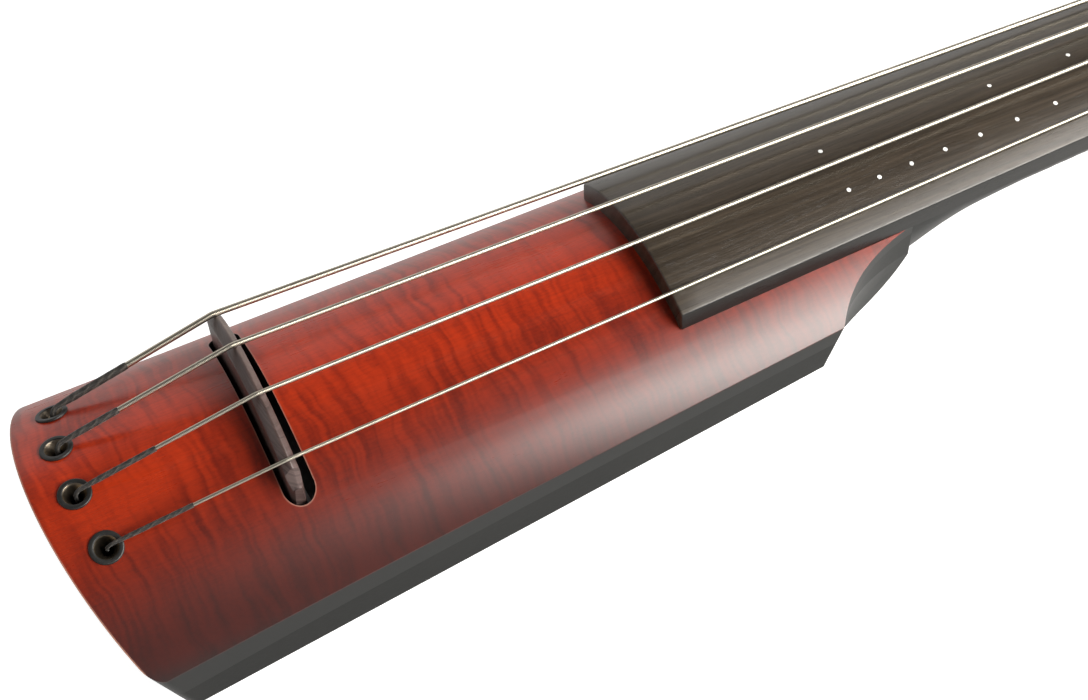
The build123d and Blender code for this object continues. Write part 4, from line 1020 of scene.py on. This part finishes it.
def bladeStations():
    # places across the blade, closer together at its ends and at the string notches
    crest, wide = blade["crestHalf"], blade["wideHalf"]
    ends = [crest + (wide - crest) * (k / blade["endStations"]) for k in range(blade["endStations"] + 1)]
    places = {round(s * e, 4) for e in ends for s in (1, -1)}
    count = blade["crestStations"]
    places |= {round(-crest + 2 * crest * k / count, 4) for k in range(count + 1)}
    count = blade["notchStations"]
    for name in layout["names"]:
        y, r = bridgeContact(name).y, layout["diameter"][name] / 2 + blade["notchSlack"]
        places |= {round(y + r * k / count, 4) for k in range(-count - 1, count + 2)}
    return sorted(places)


def bladeEdges(y):
    # the blade's lower edge, its upper edge, and how far out along its end it is
    reach, low = abs(y), blade["bottom"]
    if reach > blade["lowHalf"]:
        share = (reach - blade["lowHalf"]) / (blade["wideHalf"] - blade["lowHalf"])
        low += share * (blade["wideZ"] - low)
    if reach <= blade["crestHalf"]:
        return low, crestHeight(y), 0.0
    shoulder = crestHeight(math.copysign(blade["crestHalf"], y))
    out = (reach - blade["crestHalf"]) / (blade["wideHalf"] - blade["crestHalf"])
    return low, shoulder + (blade["wideZ"] - shoulder) * out, out


def notched(x, y, z, courses):
    # the height z, lowered where a string lies in its notch
    for name, (contact, tailSlope, nutSlope) in courses.items():
        r = layout["diameter"][name] / 2 + blade["notchSlack"]
        if abs(y - contact.y) < r:
            run = x - contact.x
            centre = contact.z + run * (tailSlope if run < 0 else nutSlope) - blade["notchDrop"]
            z = min(z, centre - math.sqrt(r**2 - (y - contact.y) ** 2))
    return z


def buildBridge():
    places = bladeStations()
    rows = blade["faceRows"]
    courses = {}
    for name in layout["names"]:
        route = stringRoute(name)
        down, out = route[3] - route[2], route[4] - route[3]
        courses[name] = (route[3], down.z / down.x, out.z / out.x)
    vertices = []
    for y in places:
        low, top, out = bladeEdges(y)
        whole = min(1.0, max(top - low, blade["least"]) / blade["fullCrest"])
        pinch = 1 - blade["pinch"] * out ** blade["pinchCurve"]
        crest = []
        for u, depth in blade["crest"]:
            x = blade["middleX"] + u * pinch
            crest.append((x, notched(x, y, top - depth * whole, courses)))
        (tailX, tailTop), (headX, headTop) = crest[0], crest[-1]
        tailFace = [(tailX, low + (tailTop - low) * k / rows) for k in range(rows)]
        headFace = [(headX, headTop + (low - headTop) * k / rows) for k in range(1, rows + 1)]
        vertices += [Vector((x, y, z)) * mm for x, z in tailFace + crest + headFace]
    faces = ringFaces(len(places), len(vertices) // len(places))
    piece = newPiece("bridge_blade", vertices, faces, finishes["bridge_wood"], 40.0)
    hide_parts("bridge")
    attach(piece, "bridge")


buildBridge()
print("bridge made")


def boardAt(x):
    # half width, top and foot of the board at x
    share = (x - board["endX"]) / (board["nutX"] - board["endX"])
    spans = (("endHalf", "nutHalf"), ("endTop", "nutTop"), ("endFoot", "nutFoot"))
    return [board[low] + (board[high] - board[low]) * share for low, high in spans]


def boardSurface(x, y):
    top = boardAt(x)[1]
    return top - board["radius"] + math.sqrt(board["radius"] ** 2 - y**2)


def boardRing(x, inset):
    # the board's section, its corners rounded between the arch and the upright sides
    half, top, foot = boardAt(x)
    half, foot, radius = half - inset, foot + inset, board["radius"] - inset
    axis = top - board["radius"]
    r, small = board["edgeRound"], board["footRound"]
    inner = half - r
    centre = Vector((inner, axis + math.sqrt((radius - r) ** 2 - inner**2)))
    lean = math.atan2(centre.y - axis, centre.x)
    corner = []
    for k in range(board["cornerSteps"] + 1):
        a = lean * k / board["cornerSteps"]
        corner.append(centre + Vector((math.cos(a), math.sin(a))) * r)
    archEnd = math.asin(half / radius) - r / radius * board["archStop"]
    arch = []
    for k in range(board["archSteps"] + 1):
        a = archEnd * (1 - k / board["archSteps"])
        arch.append(Vector((radius * math.sin(a), axis + radius * math.cos(a))))
    right = [Vector((half - small, foot)), Vector((half, foot + small))]
    right.append(Vector((half, foot + (centre.y - foot) * 0.5)))
    right += corner + [p for p in arch if p.x < corner[-1].x - board["nearest"]]
    left = [Vector((-p.x, p.y)) for p in reversed(right) if p.x > 0.001]  # the middle point only once
    return [Vector((x, p.x, p.y)) * mm for p in right + left]


def buildBoard():
    r, steps = board["endRound"], board["endSteps"]
    rings = []
    for k in range(steps + 1):
        a = math.pi / 2 * (1 - k / steps)
        rings.append(boardRing(board["endX"] + r * (1 - math.sin(a)), r * (1 - math.cos(a))))
    span = board["nutX"] - board["endX"] - r
    for k in range(1, board["stations"] + 1):
        rings.append(boardRing(board["endX"] + r + span * k / board["stations"], 0.0))
    vertices = [v for ring in rings for v in ring]
    faces = ringFaces(len(rings), len(rings[0]))
    piece = newPiece("fingerboard_shaped", vertices, faces, finishes["ebony"], 40.0)
    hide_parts("fingerboard")
    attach(piece, "root")


def semitoneX(step):
    return layout["bridgeX"] + layout["scaleLength"] * 2 ** (-step / 12)


def gapY(x):
    # the middle of the gap between the two treble strings
    share = (x - layout["bridgeX"]) / layout["scaleLength"]
    return -(layout["bridgeSpacing"] + (layout["nutSpacing"] - layout["bridgeSpacing"]) * share)


def buildDots():
    dots = [(semitoneX(n), gapY(semitoneX(n))) for n in board["rowDots"]]
    dots += [(semitoneX(n), 0.0) for n in board["middleDots"]]
    vertices, faces, sides = [], [], board["dotSides"]
    for x, y in dots:
        lean = y / board["radius"]
        up = Vector((0, lean, math.sqrt(1 - lean**2)))
        centre = Vector((x, y, boardSurface(x, y)))
        faces += ringFaces(len(board["dotProfile"]), sides, len(vertices))
        vertices += turnedRings(centre, up, board["dotProfile"], sides)
    inlay = newPiece("pearl_dots", vertices, faces, finishes["pearl"], 40.0)
    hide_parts("position_dots")
    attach(inlay, "root")


buildBoard()
buildDots()
print("fingerboard and dots made")
